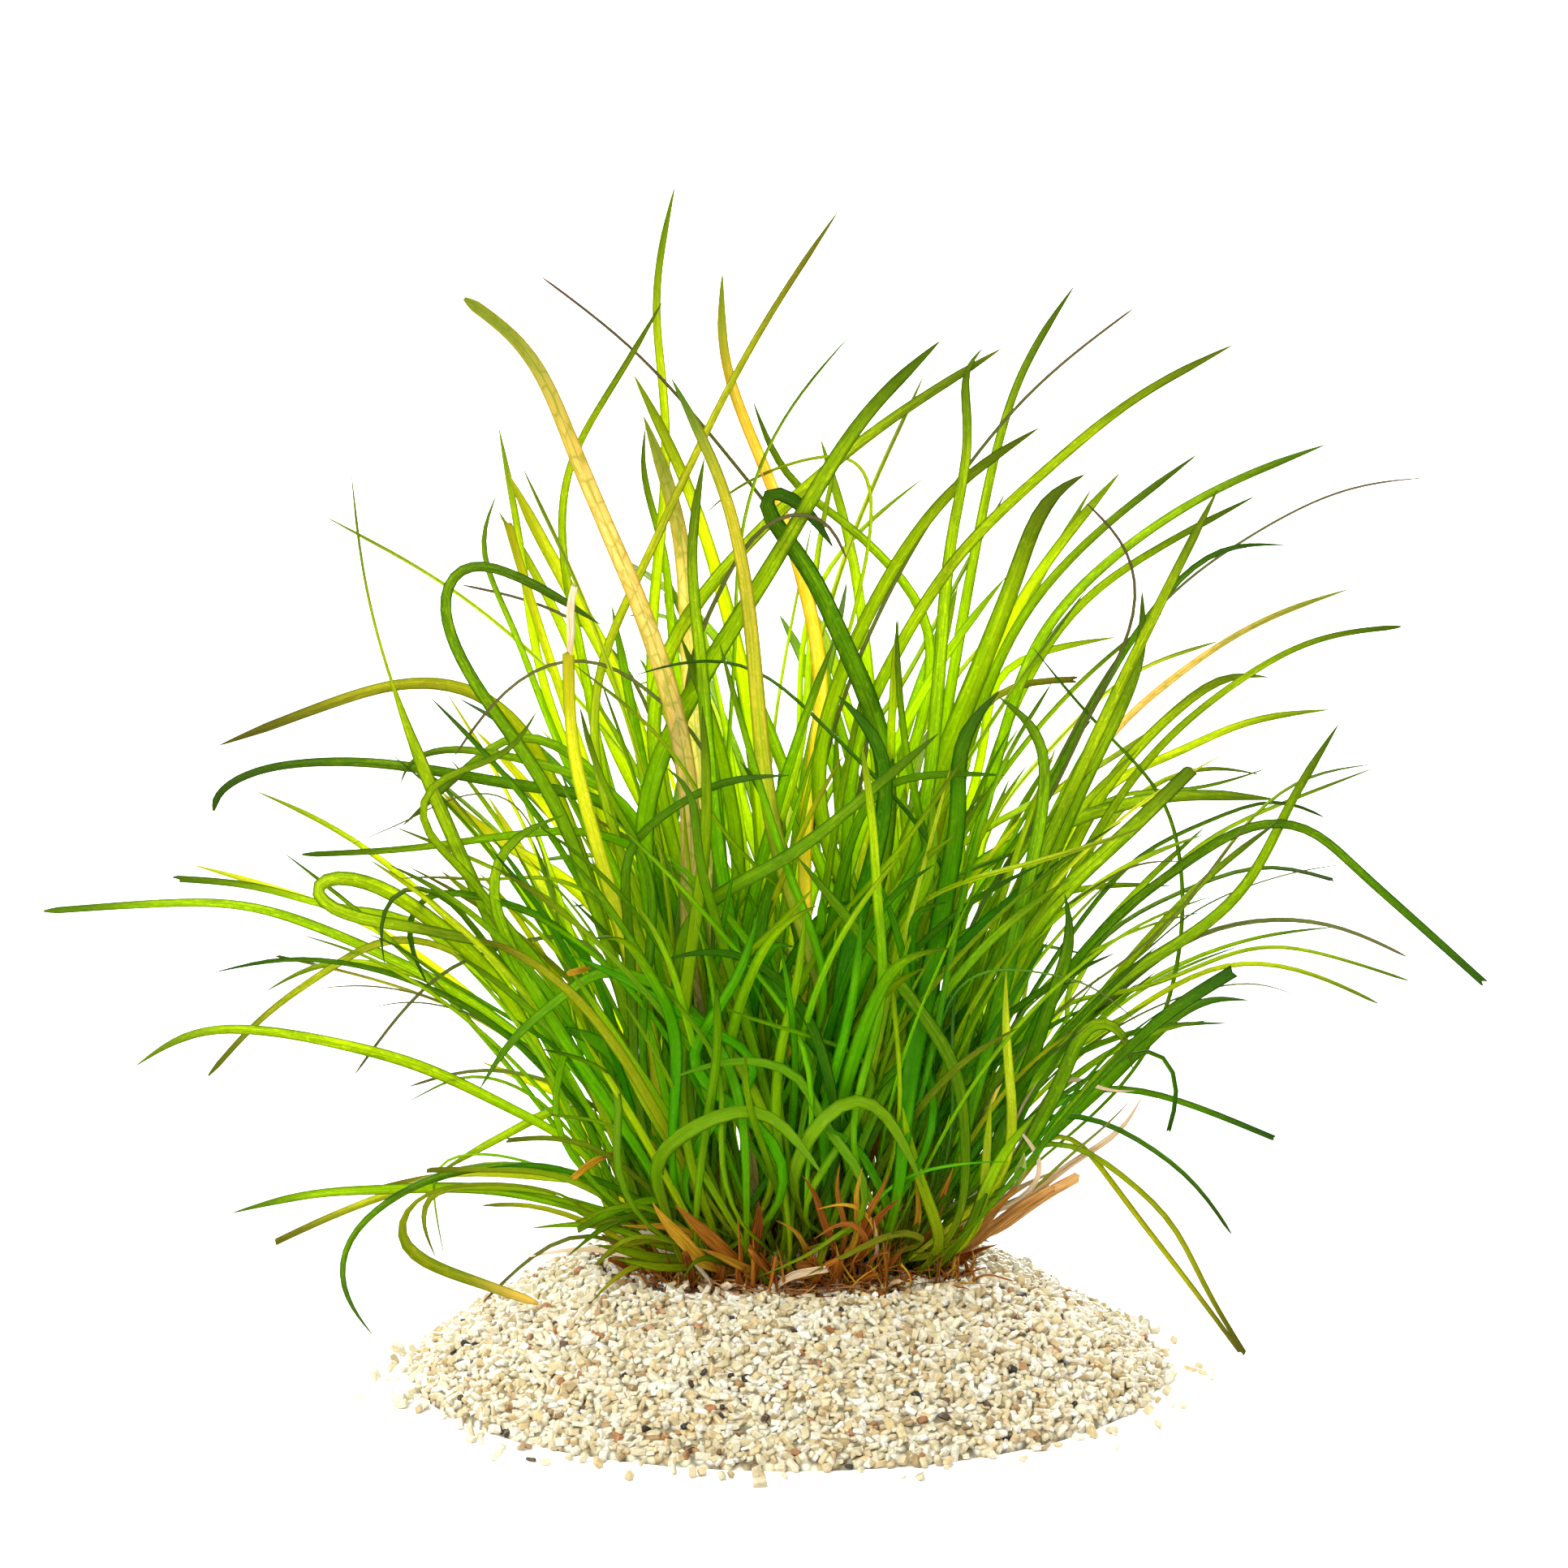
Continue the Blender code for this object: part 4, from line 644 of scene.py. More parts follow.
@dataclass(frozen=True)
class GrainFinish:
    """The quartz grains: mostly cream and white, some tan and grey, a few rust and black."""

    name: str = "quartz_grain"
    stops: tuple[tuple[float, Colour], ...] = (
        (0.000, shade(0.16, 0.13, 0.11)),
        (0.010, shade(0.20, 0.17, 0.14)),
        (0.018, shade(0.66, 0.44, 0.24)),
        (0.050, shade(0.66, 0.58, 0.42)),
        (0.150, shade(0.82, 0.74, 0.55)),
        (0.340, shade(0.81, 0.77, 0.63)),
        (0.620, shade(0.86, 0.83, 0.72)),
        (0.850, shade(0.88, 0.87, 0.80)),
        (1.000, shade(0.92, 0.91, 0.87)),
    )
    vein_scale: float = 1500.0
    bed_scale: float = 720.0
    glow_share: float = 0.22

    def material(self) -> bpy.types.Material:
        """Builds the material of the loose grains, each of one colour with cloudy veins.

        Returns:
            The material.
        """
        g = Graph(self.name)
        colour = g.ramp(g.attribute("chance"), self.stops)
        cloud = g.add("TexNoise", Vector=g.where(), Scale=self.vein_scale, Detail=3.0,
                      Roughness=0.6)
        veined = g.mix(g.ease(cloud.outputs["Fac"], 0.35, 0.75, 0.0, 0.5), colour,
                       shade(0.80, 0.72, 0.58), "MULTIPLY")
        bump = g.add("Bump", Strength=0.4, Distance=0.0001, Height=cloud.outputs["Fac"])
        stone = g.add("BsdfPrincipled", Base_Color=veined, Normal=bump.outputs[0],
                      Roughness=g.ease(cloud.outputs["Fac"], 0.3, 0.7, 0.28, 0.6))
        stone.inputs["Specular IOR Level"].default_value = 0.5
        return g.finish_thin(stone, veined, self.glow_share)

    def bed_material(self) -> bpy.types.Material:
        """Builds the material of the heap below the loose grains, in cells a grain wide, each cell
        darker towards its edge as painted shade in the gaps between grains.

        Returns:
            The material.
        """
        g = Graph("sand_bed")
        cells = g.add("TexVoronoi", Vector=g.where(), Scale=self.bed_scale)
        pick = g.add("SeparateColor", Color=cells.outputs["Color"]).outputs[0]
        colour = g.ramp(pick, self.stops)
        # Painted shade: each cell darkens towards its edge, where shade falls in the gaps between
        # grains.
        dark = g.ease(cells.outputs["Distance"], 0.2, 0.75, 0.0, 0.85)
        shaded = g.mix(dark, colour, shade(0.36, 0.33, 0.20), "MULTIPLY")
        bump = g.add("Bump", {"invert": True}, Strength=1.0, Distance=0.0006,
                     Height=cells.outputs["Distance"])
        stone = g.add("BsdfPrincipled", Base_Color=shaded, Roughness=0.7, Normal=bump.outputs[0])
        return g.finish(stone.outputs[0])


class Tip(Enum):
    """How a blade ends."""

    POINTED = "pointed"
    ROUND = "round"
    CUT = "cut"


@dataclass
class LeafLine:
    """A leaf's course, foot first, in millimetres, with its width and facing at each point.

    end holds the share of its length from which it is narrower, and the factor.
    """

    points: list[Vector]
    sides: list[Vector]
    backs: list[Vector]
    widths: list[float]
    tone: Tone = Tone.GREEN
    tip: Tip = Tip.POINTED
    end: Pair = (1.0, 1.0)

    def widen_to(self, width: float) -> None:
        """Sets the leaf's greatest width and keeps how it swells from the foot."""
        most = max(self.widths)
        self.widths = [w * width / most for w in self.widths]

    def keep_slender(self, share: float, factor: float) -> None:
        """Makes the leaf narrower by a factor from its foot up to a share of its length."""
        places = run_lengths(self.points)
        places /= places[-1]
        grown = np.interp(places, (share - 0.06, share + 0.12), (factor, 1.0))
        self.widths = [w * float(g) for w, g in zip(self.widths, grown)]


class SolidReader:
    """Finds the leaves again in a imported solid, whose sections have three corners each."""

    meeting = 0.001
    sharpest = 1.8

    def __init__(self, node: bpy.types.Object) -> None:
        self.bm = bmesh.new()
        self.bm.from_mesh(node.data)
        bmesh.ops.scale(self.bm, verts=self.bm.verts[:], vec=Vector((1 / MM, 1 / MM, 1 / MM)))
        bmesh.ops.remove_doubles(self.bm, verts=self.bm.verts[:], dist=self.meeting)

    def lines(self) -> list[LeafLine]:
        """Reads every leaf of the solid.

        Returns:
            The leaves' lines, by the height of their tips.
        """
        tips = [v for v in self.bm.verts if len(v.link_faces) == 3
                and sum(loop.calc_angle() for loop in v.link_loops) < self.sharpest]
        tips.sort(key=lambda v: (round(v.co.z, 3), round(v.co.x, 3)))
        found = [self.line(tip) for tip in tips]
        self.bm.free()
        return found

    def line(self, tip: bmesh.types.BMVert) -> LeafLine:
        """Walks down one leaf, section by section.

        Args:
            tip: The vertex at the leaf's tip.

        Returns:
            The leaf's line.
        """
        layers = [[tip]]
        seen = {tip}
        while True:
            near = {e.other_vert(v) for v in layers[-1] for e in v.link_edges} - seen
            if len(near) != 3:
                break
            layers.append(sorted(near, key=lambda v: v.index))
            seen |= near
        points = [tip.co.copy()]
        sides: list[Vector] = []
        backs: list[Vector] = []
        widths = []
        for layer in layers[1:]:
            corners = [v.co for v in layer]
            pairs = [(0, 1, 2), (0, 2, 1), (1, 2, 0)]
            a, b, keel = max(pairs, key=lambda t: (corners[t[0]] - corners[t[1]]).length)
            middle = (corners[a] + corners[b]) / 2
            side = (corners[b] - corners[a]).normalized()
            back = corners[keel] - middle
            back = (back - side * back.dot(side)).normalized()
            if backs and back.dot(backs[-1]) < 0.2:
                middle = (corners[0] + corners[1] + corners[2]) / 3
                side, back = sides[-1].copy(), backs[-1].copy()
            if sides and side.dot(sides[-1]) < 0:
                side = -side
            points.append(middle)
            sides.append(side)
            backs.append(back)
            widths.append((corners[b] - corners[a]).length)
        top = [sides[0]] + sides
        behind = [backs[0]] + backs
        spans = [widths[0]] + widths
        return LeafLine(points[::-1], top[::-1], behind[::-1], spans[::-1])


def smooth_run(values: Sequence[Sequence[float]], knots: Sequence[float],
               places: Sequence[float]) -> np.ndarray:
    """Reads a run without kinks through values at uneven knots.

    Args:
        values: One row for each knot.
        knots: Where along the run each row is.
        places: Where the run is read.

    Returns:
        One row for each place.
    """
    rows = np.asarray(values, dtype=float)
    k = np.asarray(knots, dtype=float)
    gaps = np.diff(k)
    slopes = np.diff(rows, axis=0) / gaps[:, None]
    system = np.eye(len(k))
    wanted = np.zeros_like(rows)
    for i in range(1, len(k) - 1):
        system[i, i - 1:i + 2] = (gaps[i - 1], 2.0 * (gaps[i - 1] + gaps[i]), gaps[i])
        wanted[i] = 6.0 * (slopes[i] - slopes[i - 1])
    bends = np.linalg.solve(system, wanted)
    at = np.clip(np.asarray(places, dtype=float), k[0], k[-1])
    i = np.clip(np.searchsorted(k, at, side="right") - 1, 0, len(k) - 2)
    gap = gaps[i][:, None]
    left = (k[i + 1] - at)[:, None]
    right = (at - k[i])[:, None]
    curved = (bends[i] * left ** 3 + bends[i + 1] * right ** 3) / (6.0 * gap)
    straight = ((rows[i] / gap - bends[i] * gap / 6.0) * left
                + (rows[i + 1] / gap - bends[i + 1] * gap / 6.0) * right)
    return curved + straight


def straight_run(values: Sequence[Sequence[float]], knots: Sequence[float],
                 places: Sequence[float]) -> np.ndarray:
    """Reads a run in straight steps through values at uneven knots, one row for each place."""
    rows = np.asarray(values, dtype=float)
    return np.column_stack([np.interp(places, knots, column) for column in rows.T])


def eased(rows: np.ndarray, rounds: int) -> np.ndarray:
    """Takes the corners off a row of points whose ends stay.

    Args:
        rows: The points.
        rounds: How often each is drawn to its neighbours.

    Returns:
        The softer row.
    """
    soft = rows.copy()
    for _ in range(rounds):
        soft[1:-1] = 0.5 * soft[1:-1] + 0.25 * (soft[:-2] + soft[2:])
    return soft


@dataclass
class BladeShape:
    """The form of one blade: a thin strip, folded along its midrib, with a rib at the back.

    profile goes round the section: how far out of the middle as a share of half the width, and
    how far to the front in thicknesses. crowding brings the rows closer towards the tip.
    """

    step: float = 2.6
    fine_step: float = 1.1
    thickness: float = 0.26
    fold: float = 0.13
    waviness: float = 0.06
    ease_rounds: int = 10
    foot_width: float = 0.58
    full_from: float = 0.52
    narrow_from: float = 0.5
    narrow_share: float = 0.42
    point_length: float = 7.0
    round_length: float = 1.6
    crowding: float = 1.2
    uv_per_mm: float = 0.01
    wave_pitch: float = 0.11
    profile: tuple[tuple[float, float], ...] = (
        (-1.0, 0.0), (-0.72, 0.42), (-0.34, 0.50), (-0.09, 0.36), (0.09, 0.36), (0.34, 0.50),
        (0.72, 0.42), (1.0, 0.0), (0.70, -0.42), (0.24, -0.52), (0.0, -1.15), (-0.24, -0.52),
        (-0.70, -0.42),
    )

    def add(self, bm: bmesh.types.BMesh, line: LeafLine, chance: float, slot: int) -> None:
        """Adds one blade to a mesh.

        Args:
            bm: The mesh, in millimetres, with the layers that new_blade_mesh gives it.
            line: The leaf's course.
            chance: The leaf's own number from 0 to 1.
            slot: The number of its material.
        """
        knots = run_lengths(line.points)
        length = float(knots[-1])
        fine = np.linspace(0.0, length, max(12, int(length / self.fine_step)))
        course = eased(smooth_run(line.points, knots, fine), self.ease_rounds)
        facing = eased(straight_run(line.sides, knots, fine), self.ease_rounds)
        behind = eased(straight_run(line.backs, knots, fine), self.ease_rounds)
        swelling = np.maximum.accumulate(line.widths)
        rows = max(6, int(length / self.step))
        places = np.linspace(0.0, length, rows + 1)
        if line.tip is not Tip.CUT:
            places = length * (1.0 - (1.0 - places / length) ** self.crowding)
        middles = straight_run(course, fine, places)
        sides = straight_run(facing, fine, places)
        backs = straight_run(behind, fine, places)
        tangents = np.gradient(middles, axis=0)
        shares = places / length
        end_share, end_factor = line.end
        widths = np.interp(places, knots, swelling) * np.interp(
            shares, (end_share - 0.05, end_share + 0.05), (1.0, end_factor))
        uv_layer = bm.loops.layers.uv["blade"]
        share_layer = bm.verts.layers.float["share"]
        chance_layer = bm.verts.layers.float["chance"]
        around = len(self.profile)
        grid = bmesh.ops.create_grid(bm, x_segments=around, y_segments=rows, size=0.5)["verts"]
        cells = {v: (round((v.co.x + 0.5) * around), round((v.co.y + 0.5) * rows)) for v in grid}
        faces = {face for v in grid for face in v.link_faces}
        for face in faces:
            face.material_index = slot
            face.smooth = True
            for loop in face.loops:
                column, row = cells[loop.vert]
                out = self.profile[column % around][0]
                loop[uv_layer].uv = (0.5 + 0.5 * out, places[row] * self.uv_per_mm)
        wave = chance * 91.0
        for v in grid:
            column, row = cells[v]
            out, front = self.profile[column % around]
            share = float(shares[row])
            tangent = Vector(tangents[row]).normalized()
            side = Vector(sides[row])
            side = (side - tangent * side.dot(tangent)).normalized()
            back = Vector(backs[row])
            back = (back - tangent * back.dot(tangent) - side * back.dot(side)).normalized()
            left = length - float(places[row])
            half = 0.5 * float(widths[row]) * self.taper(share, left, line.tip)
            along = places[row] * self.wave_pitch
            half *= 1.0 + self.waviness * noise.noise(Vector((wave, along, out)))
            thick = self.thickness * min(1.0, half / 0.5)
            depth = self.fold * 2.0 * half * (1.0 - abs(out) ** 1.5)
            v.co = Vector(middles[row]) + side * (out * half) + back * (depth - front * thick)
            if line.tip is Tip.CUT and row == rows:
                v.co += tangent * 0.9 * noise.noise(Vector((wave, out * 2.1, 0.0)))
            v[share_layer] = share
            v[chance_layer] = chance
        self.close(bm, grid, cells, around, rows)

    def taper(self, share: float, left: float, tip: Tip) -> float:
        """Finds how much of the full width is left at a place along the blade.

        Args:
            share: The place, 0 at the foot and 1 at the tip.
            left: How far it is to the tip, in millimetres.
            tip: How the blade ends.

        Returns:
            The share of the full width.
        """
        along = max(0.0, share - self.narrow_from) / (1.0 - self.narrow_from)
        risen = min(1.0, share / self.full_from)
        grown = self.foot_width + (1.0 - self.foot_width) * risen * risen * (3.0 - 2.0 * risen)
        if tip is Tip.CUT:
            return grown * (1.0 - 0.5 * self.narrow_share * along ** 1.5)
        narrowed = grown * (1.0 - self.narrow_share * along ** 1.5)
        if tip is Tip.ROUND:
            return narrowed * max(0.12, min(1.0, left / self.round_length)) ** 0.5
        return narrowed * max(0.02, min(1.0, left / self.point_length)) ** 0.6

    @staticmethod
    def close(bm: bmesh.types.BMesh, grid: list, cells: dict, around: int, rows: int) -> None:
        """Joins the strip's two long edges and closes its ends.

        Args:
            bm: The mesh.
            grid: The strip's vertices.
            cells: The column and row of each.
            around: How many columns go round.
            rows: How many rows the strip has.
        """
        first = {cells[v][1]: v for v in grid if cells[v][0] == 0}
        last = {cells[v][1]: v for v in grid if cells[v][0] == around}
        bmesh.ops.weld_verts(bm, targetmap={last[row]: first[row] for row in first})
        live = [v for v in grid if v.is_valid]
        rims = {edge for v in live for edge in v.link_edges if edge.is_boundary}
        bmesh.ops.holes_fill(bm, edges=list(rims), sides=around)


def new_blade_mesh() -> bmesh.types.BMesh:
    """Starts a mesh that blades can be added to, with its UV map and its two numbers."""
    bm = bmesh.new()
    bm.loops.layers.uv.new("blade")
    bm.verts.layers.float.new("share")
    bm.verts.layers.float.new("chance")
    return bm


def finished(bm: bmesh.types.BMesh, name: str,
             materials: Iterable[bpy.types.Material]) -> bpy.types.Object:
    """Turns a mesh in millimetres into a piece in metres that rides on the plant's body.

    Args:
        bm: The mesh, which is freed.
        name: The piece's name.
        materials: Its materials, in the order of the faces' numbers.

    Returns:
        The piece, in the scene.
    """
    bmesh.ops.recalc_face_normals(bm, faces=bm.faces[:])
    bmesh.ops.scale(bm, verts=bm.verts[:], vec=Vector((MM, MM, MM)))
    mesh = bpy.data.meshes.new(name)
    bm.to_mesh(mesh)
    bm.free()
    return dressed(mesh, name, materials)


def dressed(mesh: bpy.types.Mesh, name: str,
            materials: Iterable[bpy.types.Material]) -> bpy.types.Object:
    """Makes a piece of a mesh in metres and lets it ride on the plant's body.

    Args:
        mesh: The mesh.
        name: The piece's name.
        materials: Its materials.

    Returns:
        The piece, in the scene.
    """
    for material in materials:
        mesh.materials.append(material)
    piece = bpy.data.objects.new(name, mesh)
    bpy.context.collection.objects.link(piece)
    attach(piece, "root")
    LOG.info("%s: %d faces", name, len(mesh.polygons))
    return piece


@dataclass
class Palette:
    """Every material of the plant, made once."""

    tones: dict[Tone, bpy.types.Material] = field(default_factory=dict)
    husks: dict[HuskFinish, bpy.types.Material] = field(default_factory=dict)

    def tone(self, tone: Tone) -> bpy.types.Material:
        """Returns the material of a tone."""
        if tone not in self.tones:
            self.tones[tone] = tone.value.material()
        return self.tones[tone]

    def husk(self, husk: HuskFinish) -> bpy.types.Material:
        """Returns the material of dry matter."""
        if husk not in self.husks:
            self.husks[husk] = husk.material()
        return self.husks[husk]


@dataclass
class OuterLeaves:
    """The long outer leaves, each a piece that stands for one solid.

    widths, tones, round_tips and cut_tips name leaves by number, and slender_to those that are
    narrower up to a share of their length, with the share and the factor. slender_ends names
    those that are narrower beyond a share.
    """

    record: dict
    nodes: dict[str, bpy.types.Object]
    shape: BladeShape = field(default_factory=lambda: BladeShape(step=1.8))
    widening: float = 1.3
    widths: dict[int, float] = field(default_factory=lambda: {
        1: 2.0, 2: 2.0, 5: 2.8, 6: 1.6, 7: 1.3, 8: 2.1, 9: 2.3, 10: 2.0, 14: 1.9, 15: 0.7,
        23: 0.9, 24: 2.3, 25: 1.8, 26: 1.2, 27: 0.8, 28: 2.2, 32: 1.7, 33: 1.3, 35: 1.3, 39: 2.8,
    })
    tones: dict[int, Tone] = field(default_factory=lambda: {
        4: Tone.GREEN, 7: Tone.OLIVE, 8: Tone.GOLD, 9: Tone.BRONZE, 14: Tone.GREEN,
        19: Tone.GREEN, 20: Tone.DEEP, 26: Tone.OLIVE, 27: Tone.DEEP, 32: Tone.DEEP,
        33: Tone.GREEN, 39: Tone.FADED,
    })
    slender_ends: dict[int, Pair] = field(default_factory=lambda: {1: (0.70, 0.28)})
    slender_to: dict[int, Pair] = field(default_factory=lambda: {
        24: (0.74, 0.34), 25: (0.46, 0.45), 28: (0.34, 0.5), 35: (0.55, 0.5), 39: (0.66, 0.2),
    })
    round_tips: tuple[int, ...] = (5, 18, 23, 31, 32, 33, 35, 39)
    cut_tips: tuple[int, ...] = (20, 22, 24, 26)

    def build(self, palette: Palette, rng: np.random.Generator) -> None:
        """Builds and dresses every outer leaf.

        Args:
            palette: The plant's materials.
            rng: Where each leaf's own number comes from.
        """
        kinds = {tone.value.slot: tone for tone in reversed(Tone)}
        for part in self.record["subparts"]:
            node = part["node"]
            if not node.startswith("leaf_"):
                continue
            line = SolidReader(self.nodes[node]).lines()[0]
            number = int(node[-2:])
            line.widen_to(self.widths.get(number, max(line.widths) * self.widening))
            if number in self.slender_to:
                line.keep_slender(*self.slender_to[number])
            line.end = self.slender_ends.get(number, line.end)
            if number in self.round_tips:
                line.tip = Tip.ROUND
            if number in self.cut_tips:
                line.tip = Tip.CUT
            tone = self.tones.get(number, kinds[part["material_slot"]])
            bm = new_blade_mesh()
            self.shape.add(bm, line, float(rng.uniform()), 0)
            piece = finished(bm, f"blade_{number:02d}", [palette.tone(tone)])
            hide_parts(node)


@dataclass(frozen=True)
class SeenTip:
    """A rosette leaf that the picture tells apart: where its tip is seen, and its looks."""

    across: float
    up: float
    tone: Tone
    width: float
    tip: Tip = Tip.POINTED


ROSETTE_TIPS = (
    SeenTip(-43, 104.2, Tone.BROWN, 0.4),
    SeenTip(-38.5, 116.2, Tone.GREEN, 1),
    SeenTip(-37, 112.3, Tone.YELLOW, 1.1, Tip.CUT),
    SeenTip(-38.2, 125, Tone.LIME, 1.1),
    SeenTip(-37, 119, Tone.YELLOW, 1.9),
    SeenTip(-32.5, 145, Tone.BROWN, 0.4),
    SeenTip(-20.3, 132, Tone.LIME, 1.7),
    SeenTip(-19, 126.5, Tone.TAN, 2.2),
    SeenTip(-18.8, 125, Tone.GREEN, 1.1),
    SeenTip(-11, 121, Tone.GREEN, 1.5),
    SeenTip(-4.5, 128.5, Tone.GREEN, 1.2),
    SeenTip(8.8, 137.8, Tone.GREEN, 0.7),
    SeenTip(6, 109.3, Tone.DEEP, 2.2),
    SeenTip(20.2, 136.5, Tone.GREEN, 2),
    SeenTip(28.3, 135.5, Tone.GREEN, 1.5),
    SeenTip(45.8, 140.8, Tone.BROWN, 0.4),
    SeenTip(33.3, 125, Tone.GREEN, 1.6),
    SeenTip(18.2, 118.5, Tone.LIME, 0.9),
    SeenTip(7.8, 107.8, Tone.BROWN, 0.5),
    SeenTip(39.3, 118.8, Tone.GREEN, 2.4),
    SeenTip(44, 119, Tone.LIME, 1.6),
    SeenTip(54.3, 121.5, Tone.GREEN, 1.2),
    SeenTip(62, 116, Tone.GREEN, 1.1),
    SeenTip(66, 109.5, Tone.DEEP, 1),
    SeenTip(39.7, 115, Tone.BROWN, 0.4),
    SeenTip(63.7, 92, Tone.GREEN, 1.4),
    SeenTip(71.8, 87.7, Tone.LIME, 1.1),
    SeenTip(71, 73.5, Tone.DEEP, 0.8, Tip.ROUND),
    SeenTip(63, 79, Tone.GREEN, 0.9),
    SeenTip(63.8, 80, Tone.GREEN, 0.8),
    SeenTip(77.8, 80.5, Tone.GREEN, 0.7),
    SeenTip(77.8, 80, Tone.OLIVE, 0.9),
    SeenTip(72, 65.3, Tone.DEEP, 0.8, Tip.CUT),
    SeenTip(82, 55, Tone.BROWN, 0.5),
    SeenTip(78.2, 48.8, Tone.LIME, 0.8, Tip.ROUND),
    SeenTip(64.3, 31, Tone.DEEP, 1.1, Tip.CUT),
    SeenTip(50.5, 32, Tone.DEEP, 0.9, Tip.CUT),
    SeenTip(58.8, 18.3, Tone.DEEP, 0.9, Tip.ROUND),
    SeenTip(60.5, 2.6, Tone.OLIVE, 0.8, Tip.CUT),
    SeenTip(6.8, 89.5, Tone.DEEP, 2),
    SeenTip(28, 90, Tone.DEEP, 2.2),
    SeenTip(38, 91.7, Tone.OLIVE, 1, Tip.CUT),
    SeenTip(43.5, 97.3, Tone.LIME, 1.1),
    SeenTip(-79, 67.2, Tone.YELLOW, 1),
    SeenTip(-81, 65.3, Tone.GREEN, 1, Tip.CUT),
    SeenTip(-53.3, 53.8, Tone.DEEP, 0.9),
    SeenTip(-47.5, 51, Tone.DEEP, 1),
    SeenTip(-69.2, 50.3, Tone.GREEN, 1),
    SeenTip(-67.5, 55, Tone.OLIVE, 0.6, Tip.CUT),
    SeenTip(-57.2, 39.5, Tone.BROWN, 0.4),
    SeenTip(-50, 37.8, Tone.BROWN, 0.4),
    SeenTip(-67.7, 17.2, Tone.OLIVE, 1, Tip.CUT),
    SeenTip(-54, 24.3, Tone.OLIVE, 0.9, Tip.CUT),
    SeenTip(-40.3, 22, Tone.OLIVE, 0.8, Tip.ROUND),
    SeenTip(-46.7, 26, Tone.GREEN, 1.2),
    SeenTip(-40.5, 41, Tone.YELLOW, 1.2),
    SeenTip(-29, 55.3, Tone.GREEN, 1.1),
    SeenTip(-40.2, 9.3, Tone.BROWN, 0.4),
    SeenTip(-33.2, 87.5, Tone.GREEN, 1.0),
    SeenTip(-51, 72.3, Tone.GREEN, 1.2),
    SeenTip(-44, 81.7, Tone.BROWN, 0.4),
    SeenTip(-21, 92, Tone.DEEP, 0.7),
    SeenTip(-29, 95, Tone.YELLOW, 1.5, Tip.CUT),
    SeenTip(-46, 77, Tone.YELLOW, 1.6),
    SeenTip(-29.7, 73.7, Tone.GREEN, 1.4),
    SeenTip(-16.5, 54.5, Tone.DEEP, 1.1),
    SeenTip(0.3, 79, Tone.DEEP, 1.1),
    SeenTip(-16, 80, Tone.DEEP, 1.2),
    SeenTip(28.8, 79, Tone.GREEN, 1.1),
    SeenTip(-15, 39, Tone.OLIVE, 1.1),
    SeenTip(4.7, 26, Tone.OLIVE, 1.6),
    SeenTip(18, 24.5, Tone.OLIVE, 1.5),
    SeenTip(29, 53, Tone.YELLOW, 1.1),
)


